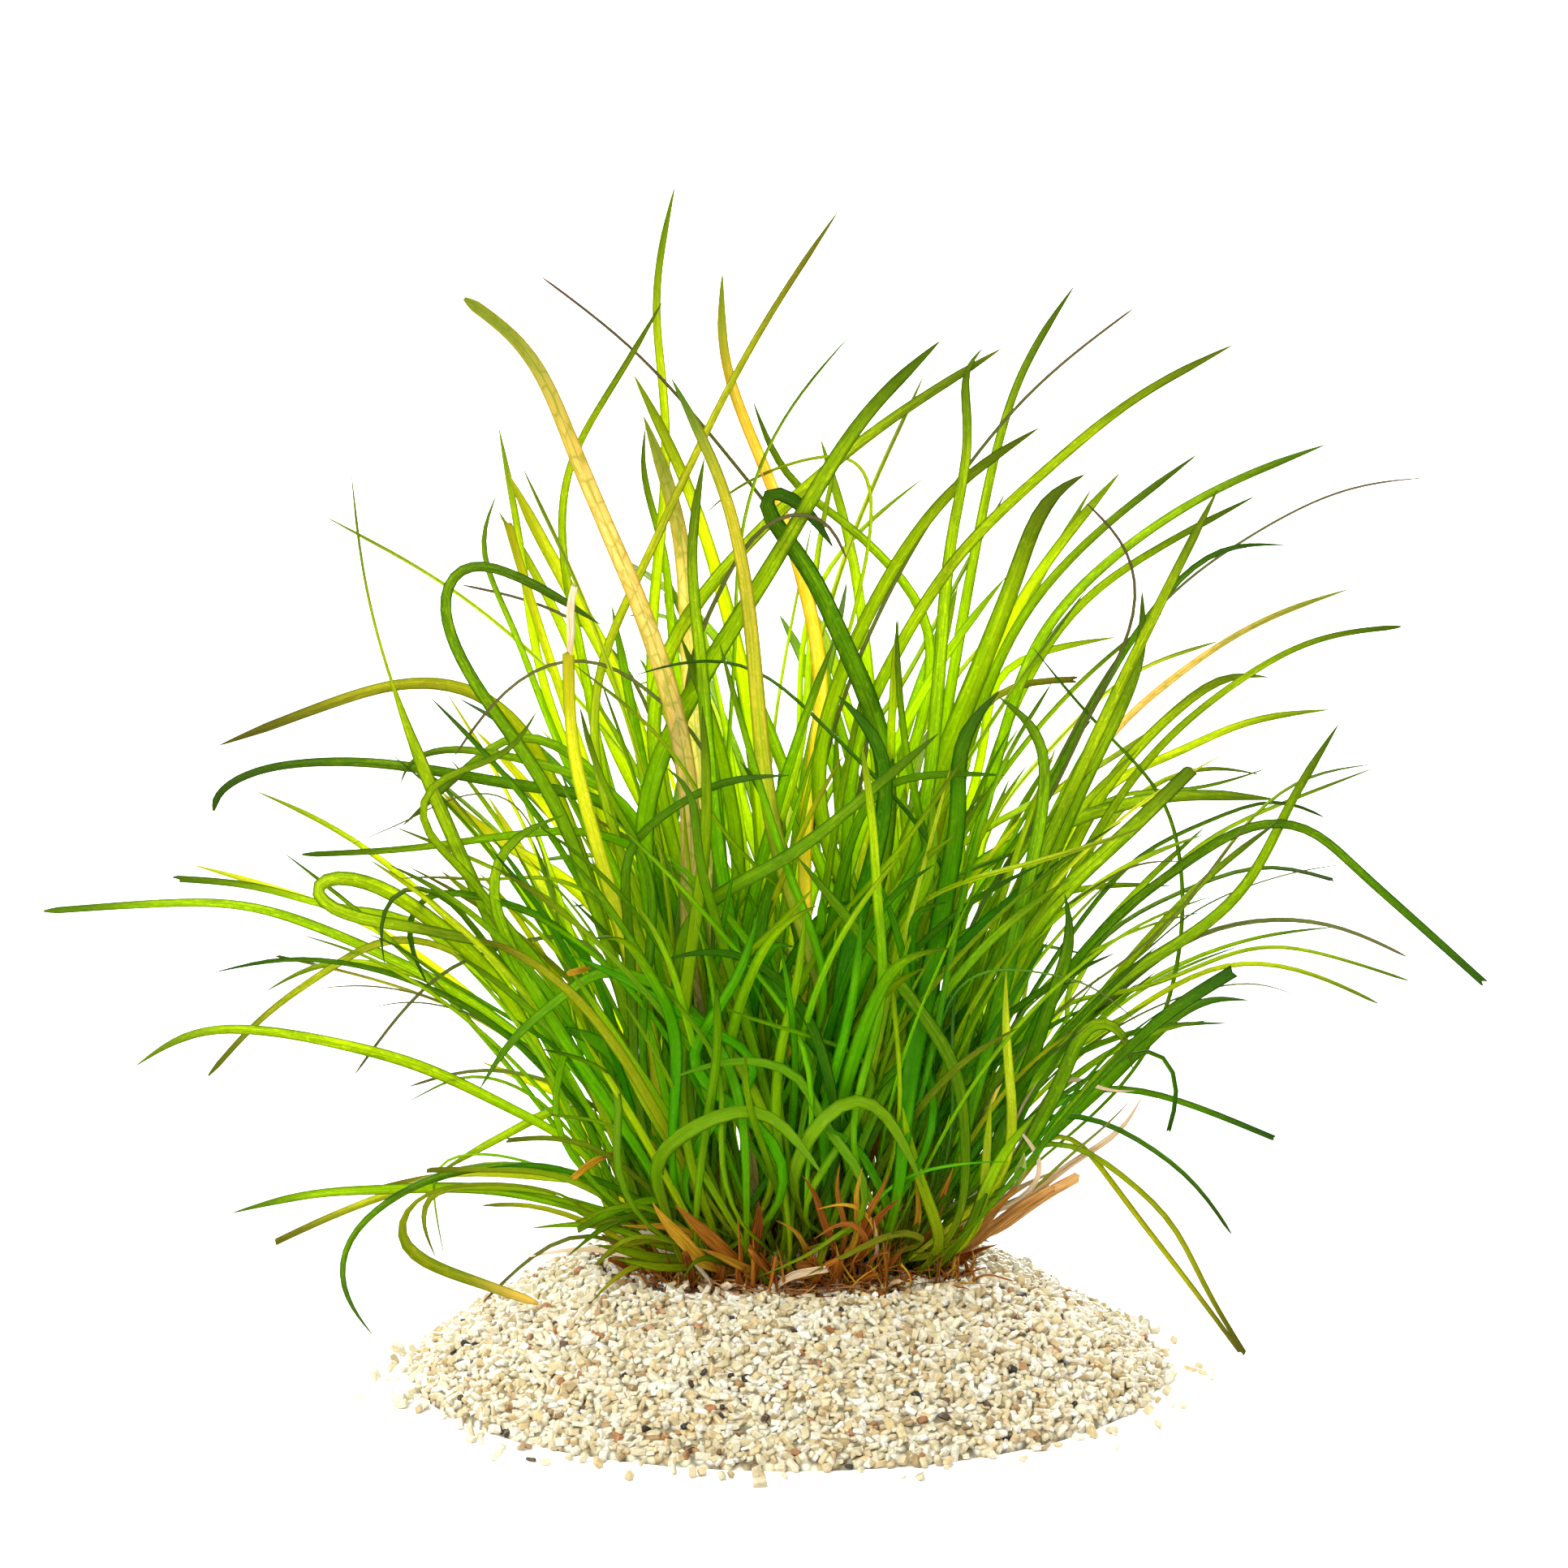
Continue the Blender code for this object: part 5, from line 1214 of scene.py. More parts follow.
@dataclass
class Rosettes:
    """The plantlets: short crowns, each with its leaves."""

    nodes: dict[str, bpy.types.Object]
    view: Viewpoint
    shape: BladeShape = field(default_factory=BladeShape)
    tip_reach: float = 1.2
    widening: float = 1.3
    seen_widening: float = 1.35
    hair_widening: float = 1.5
    outer_widening: float = 0.9
    outer_from: float = 33.0
    low_tip: float = 62.0
    high_tip: float = 96.0
    deep_when_low: float = 0.4
    lime_when_high: float = 0.55
    green_between: float = 0.55
    deep_between: float = 0.10
    crown_radius: float = 2.1
    crown_height: float = 4.4
    crown_level: float = 14.6

    def dress(self, line: LeafLine, rng: np.random.Generator) -> None:
        """Gives a leaf its tone, width and tip from where its tip is seen.

        Args:
            line: The leaf's line.
            rng: Chooses for the leaves that the picture doesn't tell apart.
        """
        pick = float(rng.uniform())
        line.widths[:2] = [line.widths[2]] * 2
        across, up = self.view.sight(line.points[-1])
        for seen in ROSETTE_TIPS:
            if math.hypot(across - seen.across, up - seen.up) < self.tip_reach:
                hair = seen.tone is Tone.BROWN
                line.widen_to(seen.width * (self.hair_widening if hair else self.seen_widening))
                if hair:
                    line.sides, line.backs = self.view.facing(line.points)
                line.tone = seen.tone
                line.tip = Tip.ROUND if hair else seen.tip
                return
        outer = up < self.low_tip and across > self.outer_from
        line.widen_to(max(line.widths) * (self.outer_widening if outer else self.widening))
        if up < self.low_tip:
            line.tone = Tone.DEEP if pick < self.deep_when_low else Tone.GREEN
        elif up > self.high_tip:
            line.tone = Tone.LIME if pick < self.lime_when_high else Tone.GREEN
        elif pick < self.green_between:
            line.tone = Tone.GREEN
        else:
            deep = pick < self.green_between + self.deep_between
            line.tone = Tone.DEEP if deep else Tone.LIME

    def build(self, palette: Palette, rng: np.random.Generator) -> None:
        """Builds and dresses every plantlet.

        Args:
            palette: The plant's materials.
            rng: Where each leaf's own number comes from.
        """
        order = list(Tone)
        materials = [palette.tone(tone) for tone in order] + [palette.husk(SHEATH)]
        for name in sorted(n for n in self.nodes if n.startswith("plantlet_")):
            bm = new_blade_mesh()
            lines = SolidReader(self.nodes[name]).lines()
            for line in lines:
                self.dress(line, rng)
                self.shape.add(bm, line, float(rng.uniform()), order.index(line.tone))
            feet = [line.points[0] for line in lines]
            middle = sum(feet, Vector()) / len(feet)
            self.add_crown(bm, Vector((middle.x, middle.y, self.crown_level)), len(order))
            piece = finished(bm, f"rosette_{name[-2:]}", materials)
            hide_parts(name)

    def add_crown(self, bm: bmesh.types.BMesh, foot: Vector, slot: int) -> None:
        """Adds the short swollen crown that the leaves stand on.

        Args:
            bm: The plantlet's mesh.
            foot: The middle of the crown's underside.
            slot: The number of its material.
        """
        made = bmesh.ops.create_uvsphere(bm, u_segments=14, v_segments=9, radius=1.0)["verts"]
        uv_layer = bm.loops.layers.uv["blade"]
        share_layer = bm.verts.layers.float["share"]
        for v in made:
            turn = math.atan2(v.co.y, v.co.x)
            swell = self.crown_radius * (1.0 + 0.14 * math.sin(5.0 * turn + foot.x))
            rise = 0.5 * (v.co.z + 1.0)
            v.co = foot + Vector((v.co.x * swell, v.co.y * swell, rise * self.crown_height))
            v[share_layer] = 0.1
        for face in {face for v in made for face in v.link_faces}:
            face.material_index = slot
            face.smooth = True
            for loop in face.loops:
                around = math.atan2(loop.vert.co.y - foot.y, loop.vert.co.x - foot.x) / math.tau
                loop[uv_layer].uv = (around * 2.0, (loop.vert.co.z - foot.z) * 0.02)


@dataclass
class InnerLeaves:
    """The many leaves in the thick of the tuft, which hide one another from every side."""

    shape: BladeShape = field(default_factory=lambda: BladeShape(step=3.4))
    count: int = 110
    pieces: int = 2
    half_width: float = 20.0
    half_depth: float = 12.0
    set_back: float = 3.5
    foot_level: float = 14.4
    lengths: Pair = (52.0, 108.0)
    widths: Pair = (0.8, 1.8)
    front_width: float = 1.25
    leans: Pair = (0.02, 0.45)
    bends: Pair = (0.10, 0.95)
    steps: int = 8
    sway: float = 0.25
    # Lime and yellow come up more often here: partly the leaves' own tones, partly painted light
    # that makes these shadowed inner leaves glow.
    tones: tuple[Tone, ...] = (Tone.GREEN, Tone.GREEN, Tone.LIME, Tone.LIME, Tone.YELLOW,
                               Tone.YELLOW)

    def build(self, palette: Palette, rng: np.random.Generator) -> None:
        """Builds and dresses the inner leaves.

        Args:
            palette: The plant's materials.
            rng: Varies the leaves.
        """
        order = list(dict.fromkeys(self.tones))
        for number in range(1, self.pieces + 1):
            bm = new_blade_mesh()
            for i in range(number - 1, self.count, self.pieces):
                tone = self.tones[int(rng.integers(len(self.tones)))]
                line = self.line(i, rng)
                self.shape.add(bm, line, float(rng.uniform()), order.index(tone))
            piece = finished(bm, f"inner_leaves_{number}", [palette.tone(t) for t in order])

    def line(self, number: int, rng: np.random.Generator) -> LeafLine:
        """Makes the course of one leaf, which leans out and droops.

        Args:
            number: The leaf's number, which spreads the feet evenly.
            rng: Varies the leaf.

        Returns:
            The leaf's line.
        """
        out = math.sqrt((number + 0.5) / self.count)
        turn = number * GOLDEN_ANGLE
        foot = Vector((out * self.half_width * math.cos(turn),
                       out * self.half_depth * math.sin(turn) + self.set_back, self.foot_level))
        heading = math.atan2(foot.y, foot.x) + rng.normal(0.0, 0.6)
        length = rng.uniform(*self.lengths) * (1.0 - 0.25 * out)
        lean = rng.uniform(*self.leans) * (0.4 + out)
        bend = rng.uniform(*self.bends) * length / self.lengths[1]
        points = [foot]
        for step in range(self.steps):
            tilt = lean + bend * (step / (self.steps - 1)) ** 1.6
            turned = heading + self.sway * math.sin(number + 0.6 * step)
            points.append(points[-1] + leaning(turned, tilt) * length / self.steps)
        ways = ways_along(points)
        facing = rng.uniform(0.0, math.pi)
        spin = Vector((math.cos(facing), 0.5 * math.sin(facing), 0.0)).normalized()
        sides = [(spin - way * spin.dot(way)).normalized() for way in ways]
        backs = [way.cross(side).normalized() for way, side in zip(ways, sides)]
        width = rng.uniform(*self.widths)
        width = min(width, self.front_width) if foot.y < 0.0 else width
        widths = [width * (0.75 + 0.25 * min(1.0, i / 3.0)) for i in range(len(points))]
        return LeafLine(points, sides, backs, widths)


@dataclass
class FrontArcs:
    """The thin leaves that lean aside and bow down before the thick of the tuft."""

    view: Viewpoint
    shape: BladeShape = field(default_factory=lambda: BladeShape(step=2.8))
    count: int = 84
    half_width: float = 21.0
    half_depth: float = 14.5
    foot_level: float = 14.4
    lengths: Pair = (38.0, 88.0)
    widths: Pair = (0.5, 1.5)
    leans: Pair = (0.04, 0.62)
    bends: Pair = (0.1, 1.2)
    steps: int = 9
    tones: tuple[Tone, ...] = (Tone.DEEP, Tone.DEEP, Tone.GREEN, Tone.GREEN, Tone.LIME,
                               Tone.OLIVE)

    def build(self, palette: Palette, rng: np.random.Generator) -> None:
        """Builds and dresses the arcs.

        Args:
            palette: The plant's materials.
            rng: Varies the leaves.
        """
        order = list(dict.fromkeys(self.tones))
        bm = new_blade_mesh()
        for number in range(self.count):
            tone = self.tones[int(rng.integers(len(self.tones)))]
            self.shape.add(bm, self.line(number, rng), float(rng.uniform()), order.index(tone))
        piece = finished(bm, "front_arcs", [palette.tone(t) for t in order])

    def line(self, number: int, rng: np.random.Generator) -> LeafLine:
        """Makes the course of one leaf that leans to its own side of the tuft.

        Args:
            number: The leaf's number, which spreads the feet evenly.
            rng: Varies the leaf.

        Returns:
            The leaf's line.
        """
        turn = math.pi * (1.0 + (number + 0.5) / self.count)
        if number % 4 == 0:
            turn = number * GOLDEN_ANGLE
        out = rng.uniform(0.55, 1.0)
        foot = Vector((out * self.half_width * math.cos(turn),
                       out * self.half_depth * math.sin(turn), self.foot_level))
        swing = 1.0 if foot.x + rng.normal(0.0, 11.0) > 0.0 else -1.0
        heading = math.pi / 2 - swing * (math.pi / 2 + rng.uniform(-0.35, 0.75))
        length = rng.uniform(*self.lengths)
        lean = rng.uniform(*self.leans)
        bend = rng.uniform(*self.bends) * length / self.lengths[1]
        points = [foot]
        for step in range(self.steps):
            tilt = lean + bend * (step / (self.steps - 1)) ** 1.7
            way = leaning(heading, tilt)
            heading += rng.normal(0.0, 0.06)
            points.append(points[-1] + way * length / self.steps)
        for point in points[1:]:
            point.z = max(point.z, self.foot_level + 0.8)
        sides, backs = self.view.facing(points, rng.uniform(-0.9, 0.9))
        width = rng.uniform(*self.widths)
        return LeafLine(points, sides, backs, [width] * len(points))


@dataclass(frozen=True)
class Strand:
    """A thin leaf, dead strip or fibre, drawn from its free end down, across and up in view.

    rank says where it stands from front to back: -1 at the front, 0 in the middle.
    """

    look: Tone | HuskFinish
    width: float
    rank: float
    route: tuple[Pair, ...]
    rooted: bool = True
    tip: Tip = Tip.POINTED


STRANDS = (
    Strand(Tone.GREEN, 0.6, 0.3, ((-11.3, 113.2), (-9, 115.5), (-6, 117.5), (-2, 119.5),
                                  (2, 120.8), (6, 121.5))),
    Strand(Tone.BROWN, 0.3, -0.3, ((68.5, 49.3), (65, 51), (61, 51.6), (57.5, 51.2), (46, 47))),
    Strand(Tone.BROWN, 0.3, 0.2, ((-64, 50.5), (-58, 51.2), (-52, 50.8), (-47, 49.5), (-38, 45))),
    Strand(Tone.BROWN, 0.3, -0.2, ((-56.8, 47.7), (-52, 49), (-48, 49), (-43, 47.8), (-34, 43))),
    Strand(Tone.GREEN, 0.5, -0.4, ((-50.7, 35.5), (-47, 37.5), (-45, 38.7), (-36, 38))),
    Strand(Tone.OLIVE, 1.0, -0.7, ((-46.5, 15), (-48, 18), (-48.7, 20.5), (-48.3, 23),
                                   (-42, 24.6))),
    Strand(Tone.OLIVE, 0.9, -0.5, ((-47.5, 26.7), (-42, 26.8), (-36, 26.8), (-30, 26), (-22, 22)),
           tip=Tip.CUT),
    Strand(Tone.OLIVE, 0.8, -0.6, ((-37.3, 30.6), (-34, 31), (-30, 31), (-27, 30.3), (-24, 29),
                                   (-18, 24)), tip=Tip.CUT),
    Strand(AMBER, 1.0, -0.66, ((-28.4, 25.6), (-26.6, 27.2), (-24.4, 28.6), (-22.8, 29)),
           rooted=False, tip=Tip.CUT),
    Strand(Tone.GREEN, 1.1, -0.8, ((-27.7, 18.8), (-25, 20.3), (-22.6, 21.5), (-16, 23)),
           tip=Tip.CUT),
    Strand(Tone.GREEN, 0.4, -0.5, ((-45.3, 14.5), (-46.2, 19), (-46.9, 23), (-46.8, 27.3),
                                   (-40, 29), (-32, 27))),
    Strand(RUST, 0.6, -0.4, ((18.2, 35), (17, 37), (15.5, 38), (13.5, 37), (12, 30))),
    Strand(STRAW, 1.0, -0.35, ((47, 36.5), (45.5, 33.3), (41.6, 30), (36.8, 27.1), (30, 22))),
    Strand(STRAW, 0.9, -0.5, ((46, 37.2), (43, 36.8), (40, 38), (38, 39.5), (33, 34), (26, 24))),
    Strand(STRAW, 0.9, -0.5, ((33.2, 38.5), (31, 35), (29.5, 32), (28, 25))),
    Strand(STRAW, 0.8, -0.6, ((29.5, 33.5), (32, 30.5), (34, 27.5), (30, 22))),
    Strand(Tone.TAN, 1.6, 0.2, ((32, 52), (31, 48), (30, 44), (27, 34))),
    Strand(BARK, 1.7, -0.35, ((38.3, 25.7), (35, 24), (31, 21.3), (26, 18)), tip=Tip.CUT),
    Strand(BARK, 1.5, -0.45, ((35, 24.2), (31, 22), (27, 19), (22, 15.5)), tip=Tip.CUT),
    Strand(STRAW, 1.0, -0.4, ((36, 26.8), (31, 24.6), (27, 21.6), (23, 17))),
    Strand(BARK, 1.0, -0.55, ((33, 27.5), (30.5, 24.8), (28, 22), (23, 16.5))),
    Strand(AMBER, 0.6, -0.6, ((31, 24.5), (28, 22.3), (25, 19.6), (20, 16))),
    Strand(RUST, 1.9, -1.05, ((-14.8, 22), (-11, 18.5), (-8, 15.5), (-6.5, 14.0))),
    Strand(RUST, 1.7, -1.0, ((-3.8, 22.5), (-4, 18.5), (-4.7, 15))),
    Strand(AMBER, 1.8, -1.1, ((-17.8, 22.3), (-15.5, 19), (-12.5, 16), (-10.5, 13.5))),
    Strand(AMBER, 1.1, -1.1, ((-11.8, 16.4), (-8, 14.9), (-3.4, 12.9))),
    Strand(RUST, 1.0, -1.0, ((2, 26), (4, 23), (5, 19), (7, 15))),
    Strand(RUST, 0.8, -0.95, ((7, 27.5), (6.5, 23), (8, 19), (7, 15))),
    Strand(AMBER, 0.9, -1.0, ((10, 27), (9, 23), (9.5, 18), (8, 15))),
    Strand(RUST, 0.9, -1.0, ((13.5, 26.5), (12, 23), (10, 20), (9, 15.5))),
    Strand(RUST, 1.2, -0.95, ((15, 23), (12.5, 21), (10, 17), (9, 14.5))),
    Strand(AMBER, 0.7, -1.05, ((4, 21.5), (8, 22.5), (11, 21), (12, 16))),
    Strand(RUST, 0.9, -1.05, ((3.5, 17.5), (6, 19.5), (8.5, 20.5), (10.5, 18.5), (11, 15))),
    Strand(AMBER, 0.7, -1.0, ((-1.5, 20), (1, 19), (2.5, 16.5), (3, 14.5))),
    Strand(RUST, 1.3, -0.6, ((22, 27), (20.5, 23), (19, 19), (17, 16))),
    Strand(AMBER, 1.0, -0.7, ((17, 25.5), (17.5, 21), (16.5, 17))),
    Strand(Tone.DEEP, 1.1, -0.9, ((-29.1, 15.3), (-26.4, 17.6), (-23.2, 20.1), (-18, 21))),
    Strand(Tone.OLIVE, 0.9, -0.8, ((-28, 18.5), (-24.5, 19.9), (-21, 20.8), (-15, 19))),
    Strand(Tone.GREEN, 1.4, -0.95, ((-25.5, 16.8), (-21, 15.9), (-16.4, 14.8))),
    Strand(Tone.GREEN, 1.2, -1.0, ((-23.2, 15), (-19.1, 14.2), (-14.1, 13.6))),
    Strand(Tone.OLIVE, 0.8, -0.9, ((-25.3, 14.2), (-23.2, 16), (-21, 17.1), (-16, 17.5))),
    Strand(AMBER, 1.0, -0.95, ((-22, 19.4), (-18.2, 19.1), (-15, 19.6), (-11, 17))),
    Strand(Tone.DEEP, 0.9, -1.1, ((-13.7, 12.2), (-12.8, 14.8), (-10.5, 15.8), (-9.1, 14.4))),
    Strand(Tone.GREEN, 1.0, -0.8, ((-34, 19), (-28, 19.6), (-21, 18.5), (-15, 16))),
    Strand(Tone.GREEN, 0.9, -0.6, ((-37, 24), (-30, 22.8), (-22, 20), (-15, 17))),
    Strand(Tone.LIME, 1.6, -0.85, ((15.3, 35), (18.2, 23.7), (19.8, 15))),
    Strand(Tone.LIME, 1.6, -0.8, ((33, 34.3), (25.6, 22.4), (21.7, 15.3))),
    Strand(Tone.YELLOW, 1.3, -0.75, ((27, 36), (26.2, 25.6), (23, 16.6))),
    Strand(Tone.GREEN, 0.5, -1.0, ((29.5, 27.8), (24.3, 27.7), (19.1, 26.9), (14, 25), (9, 19))),
    Strand(Tone.GREEN, 1.3, -0.9, ((4.5, 32.5), (8, 31), (11.5, 26), (13.5, 18))),
    Strand(STRAW, 0.5, -0.9, ((11.5, 20), (12, 17), (11.7, 14))),
    Strand(STRAW, 0.7, -0.7, ((-35.7, 15), (-31, 15.8), (-26, 16.5), (-20, 15))),
    Strand(Tone.OLIVE, 0.9, -0.85, ((-26.2, 8.9), (-23.5, 12), (-21, 14), (-17, 15))),
    Strand(Tone.OLIVE, 1.0, -1.0, ((2.5, 12.7), (8, 15.5), (12, 17.5), (16, 19), (19.3, 17))),
    Strand(Tone.LIME, 0.6, -1.0, ((-4, 12.5), (2, 15), (6, 17.5), (10, 20.3), (12, 17))),
    Strand(Tone.BROWN, 0.42, -0.5, ((54.1, 67.5), (50.5, 67.7), (46.2, 67.4), (43, 65.6),
                                    (39.8, 63.7), (36.6, 61.5), (33.9, 58.3), (30.1, 52.7))),
    Strand(Tone.BROWN, 0.36, -0.6, ((62.5, 74.6), (60.2, 71.5), (57, 67.7), (54.3, 64),
                                    (51.6, 60.8), (47.8, 57), (44.6, 54.3), (39.8, 51.1),
                                    (34.4, 46.2))),
    Strand(Tone.BROWN, 0.26, -0.1, ((75.8, 67.5), (72, 67), (67.7, 66.3), (62.4, 64.8),
                                    (57, 62.7), (52.7, 60.2), (49.5, 57.5), (44.1, 52.7))),
    Strand(Tone.GREEN, 0.5, -0.4, ((55.7, 61), (52.7, 60.4), (49.5, 59.7), (45.2, 58.1),
                                   (41.9, 56.5), (35.5, 52.7))),
    Strand(Tone.BROWN, 0.34, -0.9, ((47.5, 45.4), (46.2, 46.5), (44.1, 48.4), (40.9, 50.8),
                                    (37.6, 52.2), (34.4, 52.7), (29, 53.5), (24.7, 52.7))),
    Strand(Tone.BROWN, 0.32, -0.7, ((41.2, 51.7), (38.7, 51.8), (36.6, 51.6), (33.3, 49.7),
                                    (30.1, 46.2))),
    Strand(Tone.BROWN, 0.45, -0.8, ((40.3, 46.2), (35.5, 42.5), (31.4, 38.9), (29, 34.4))),
    Strand(Tone.DEEP, 0.5, -0.7, ((50.5, 48.4), (45.2, 44.6), (41.9, 41.4), (39.2, 38.2),
                                  (35.5, 33.9), (31.2, 28))),
    Strand(Tone.BROWN, 0.45, -0.55, ((45.8, 36.3), (42.5, 32.8), (39.2, 30.1), (35.5, 26.9),
                                     (31.4, 23.1))),
    Strand(Tone.GREEN, 0.9, -0.65, ((48.4, 46), (43, 41.4), (38.7, 36.6), (34.4, 31.2),
                                    (30.1, 24.7))),
    Strand(Tone.DEEP, 0.8, -0.75, ((38.7, 46), (35.5, 40.9), (32.5, 36.6), (30.1, 31.2),
                                   (28, 24.7))),
    Strand(Tone.BROWN, 0.28, -0.3, ((-58.1, 69.7), (-53.8, 71.5), (-50.5, 72.9), (-45.7, 75.5),
                                    (-39.8, 76.9))),
    Strand(Tone.OLIVE, 0.6, -0.4, ((-51.6, 65.3), (-48.4, 65.6), (-44.1, 65.4), (-39.8, 65.1),
                                   (-34.4, 65.6), (-30.1, 65.3), (-24.7, 62.4))),
    Strand(Tone.DEEP, 0.6, -0.5, ((-55.9, 58.1), (-51.6, 56.5), (-47.3, 53.2), (-41.9, 50),
                                  (-37.6, 47.3), (-31.2, 43.5))),
    Strand(AMBER, 0.9, -1, ((-29, 52.7), (-27.7, 53.1), (-26.1, 53.5)), rooted=False, tip=Tip.CUT),
    Strand(SHEATH, 1.6, -0.9, ((31.4, 29), (31, 26.9), (30.1, 24.5)), rooted=False),
    Strand(Tone.OLIVE, 0.5, -0.55, ((-30.8, 33.9), (-28.5, 34), (-25.3, 33.2), (-19.4, 31.2),
                                    (-15.1, 26.9)), tip=Tip.CUT),
    Strand(Tone.DEEP, 0.7, -0.7, ((-30.1, 23.4), (-26.9, 22.5), (-22.6, 20.9), (-18.3, 20.2),
                                  (-12.9, 17.2))),
    Strand(Tone.DEEP, 0.9, -0.55, ((-39.8, 27), (-34.4, 27.5), (-29, 26.6), (-23.7, 24.9),
                                   (-17.2, 21.5))),
    Strand(Tone.GREEN, 0.8, -0.85, ((-29, 19.4), (-24.7, 21.3), (-21, 22.4), (-17.2, 21.5),
                                    (-12.9, 18.3))),
    Strand(Tone.OLIVE, 0.7, -0.95, ((-25.1, 14.3), (-23.9, 16.1), (-22, 17.7), (-18.3, 18.3),
                                    (-14, 16.7)), tip=Tip.CUT),
    Strand(STRAW, 1.1, -0.5, ((-28.2, 104), (-28.8, 101), (-28.6, 97), (-29.2, 93)), rooted=False,
           tip=Tip.CUT),
)


@dataclass
class LooseStrands:
    """Thin leaves and dead strips too fine for solids of their own."""

    view: Viewpoint
    shape: BladeShape = field(default_factory=lambda: BladeShape(step=1.6, thickness=0.22))
    spread: float = 17.0
    spread_rise: float = 0.24
    foot_half_width: float = 20.0
    foot_half_depth: float = 13.5
    foot_level: float = 14.6
    long_route: int = 5
    long_start: float = 0.25

    def line(self, strand: Strand) -> LeafLine:
        """Finds a strand's course from the picture, down to its foot in the root ball.

        Args:
            strand: The strand.

        Returns:
            Its line, foot first.
        """
        tip_y = strand.rank * (self.spread + self.spread_rise * strand.route[0][1])
        end_y = strand.rank * self.foot_half_depth
        seen = strand.route[::-1]
        lengths = [0.0]
        for a, b in zip(seen[:-1], seen[1:]):
            lengths.append(lengths[-1] + math.dist(a, b))
        start = 0.0 if len(seen) < self.long_route else self.long_start
        points = [self.view.place(*place, end_y + (tip_y - end_y) * (
            start + (1.0 - start) * length / lengths[-1]) ** 1.3)
            for place, length in zip(seen, lengths)]
        if strand.rooted and points[0].z > self.foot_level + 1.0:
            low = points[0]
            foot = Vector((low.x * 0.55, low.y * 0.6, self.foot_level))
            reach = math.hypot(foot.x / self.foot_half_width, foot.y / self.foot_half_depth)
            foot.xy /= max(1.0, reach)
            bend = foot.lerp(low, 0.5) + Vector((0.0, 0.0, 0.16 * (low - foot).length))
            points = [foot, bend] + points
        sides, backs = self.view.facing(points)
        return LeafLine(points, sides, backs, [strand.width] * len(points), tip=strand.tip)

    def build(self, palette: Palette, rng: np.random.Generator) -> None:
        """Builds and dresses the strands, one piece for each look.

        Args:
            palette: The plant's materials.
            rng: Where each strand's own number comes from.
        """
        looks = list(dict.fromkeys(strand.look for strand in STRANDS))
        for look in looks:
            bm = new_blade_mesh()
            for strand in STRANDS:
                if strand.look == look:
                    self.shape.add(bm, self.line(strand), float(rng.uniform()), 0)
            living = isinstance(look, Tone)
            material = palette.tone(look) if living else palette.husk(look)
            name = look.value.name if living else look.name
            piece = finished(bm, f"loose_{name}", [material])


def rooms(nodes: Iterable[bpy.types.Object]) -> BVHTree:
    """Builds a search tree of solids, in millimetres, to set things down on."""
    bm = bmesh.new()
    for node in nodes:
        bm.from_mesh(node.data)
    bmesh.ops.scale(bm, verts=bm.verts[:], vec=Vector((1 / MM, 1 / MM, 1 / MM)))
    tree = BVHTree.FromBMesh(bm)
    bm.free()
    return tree


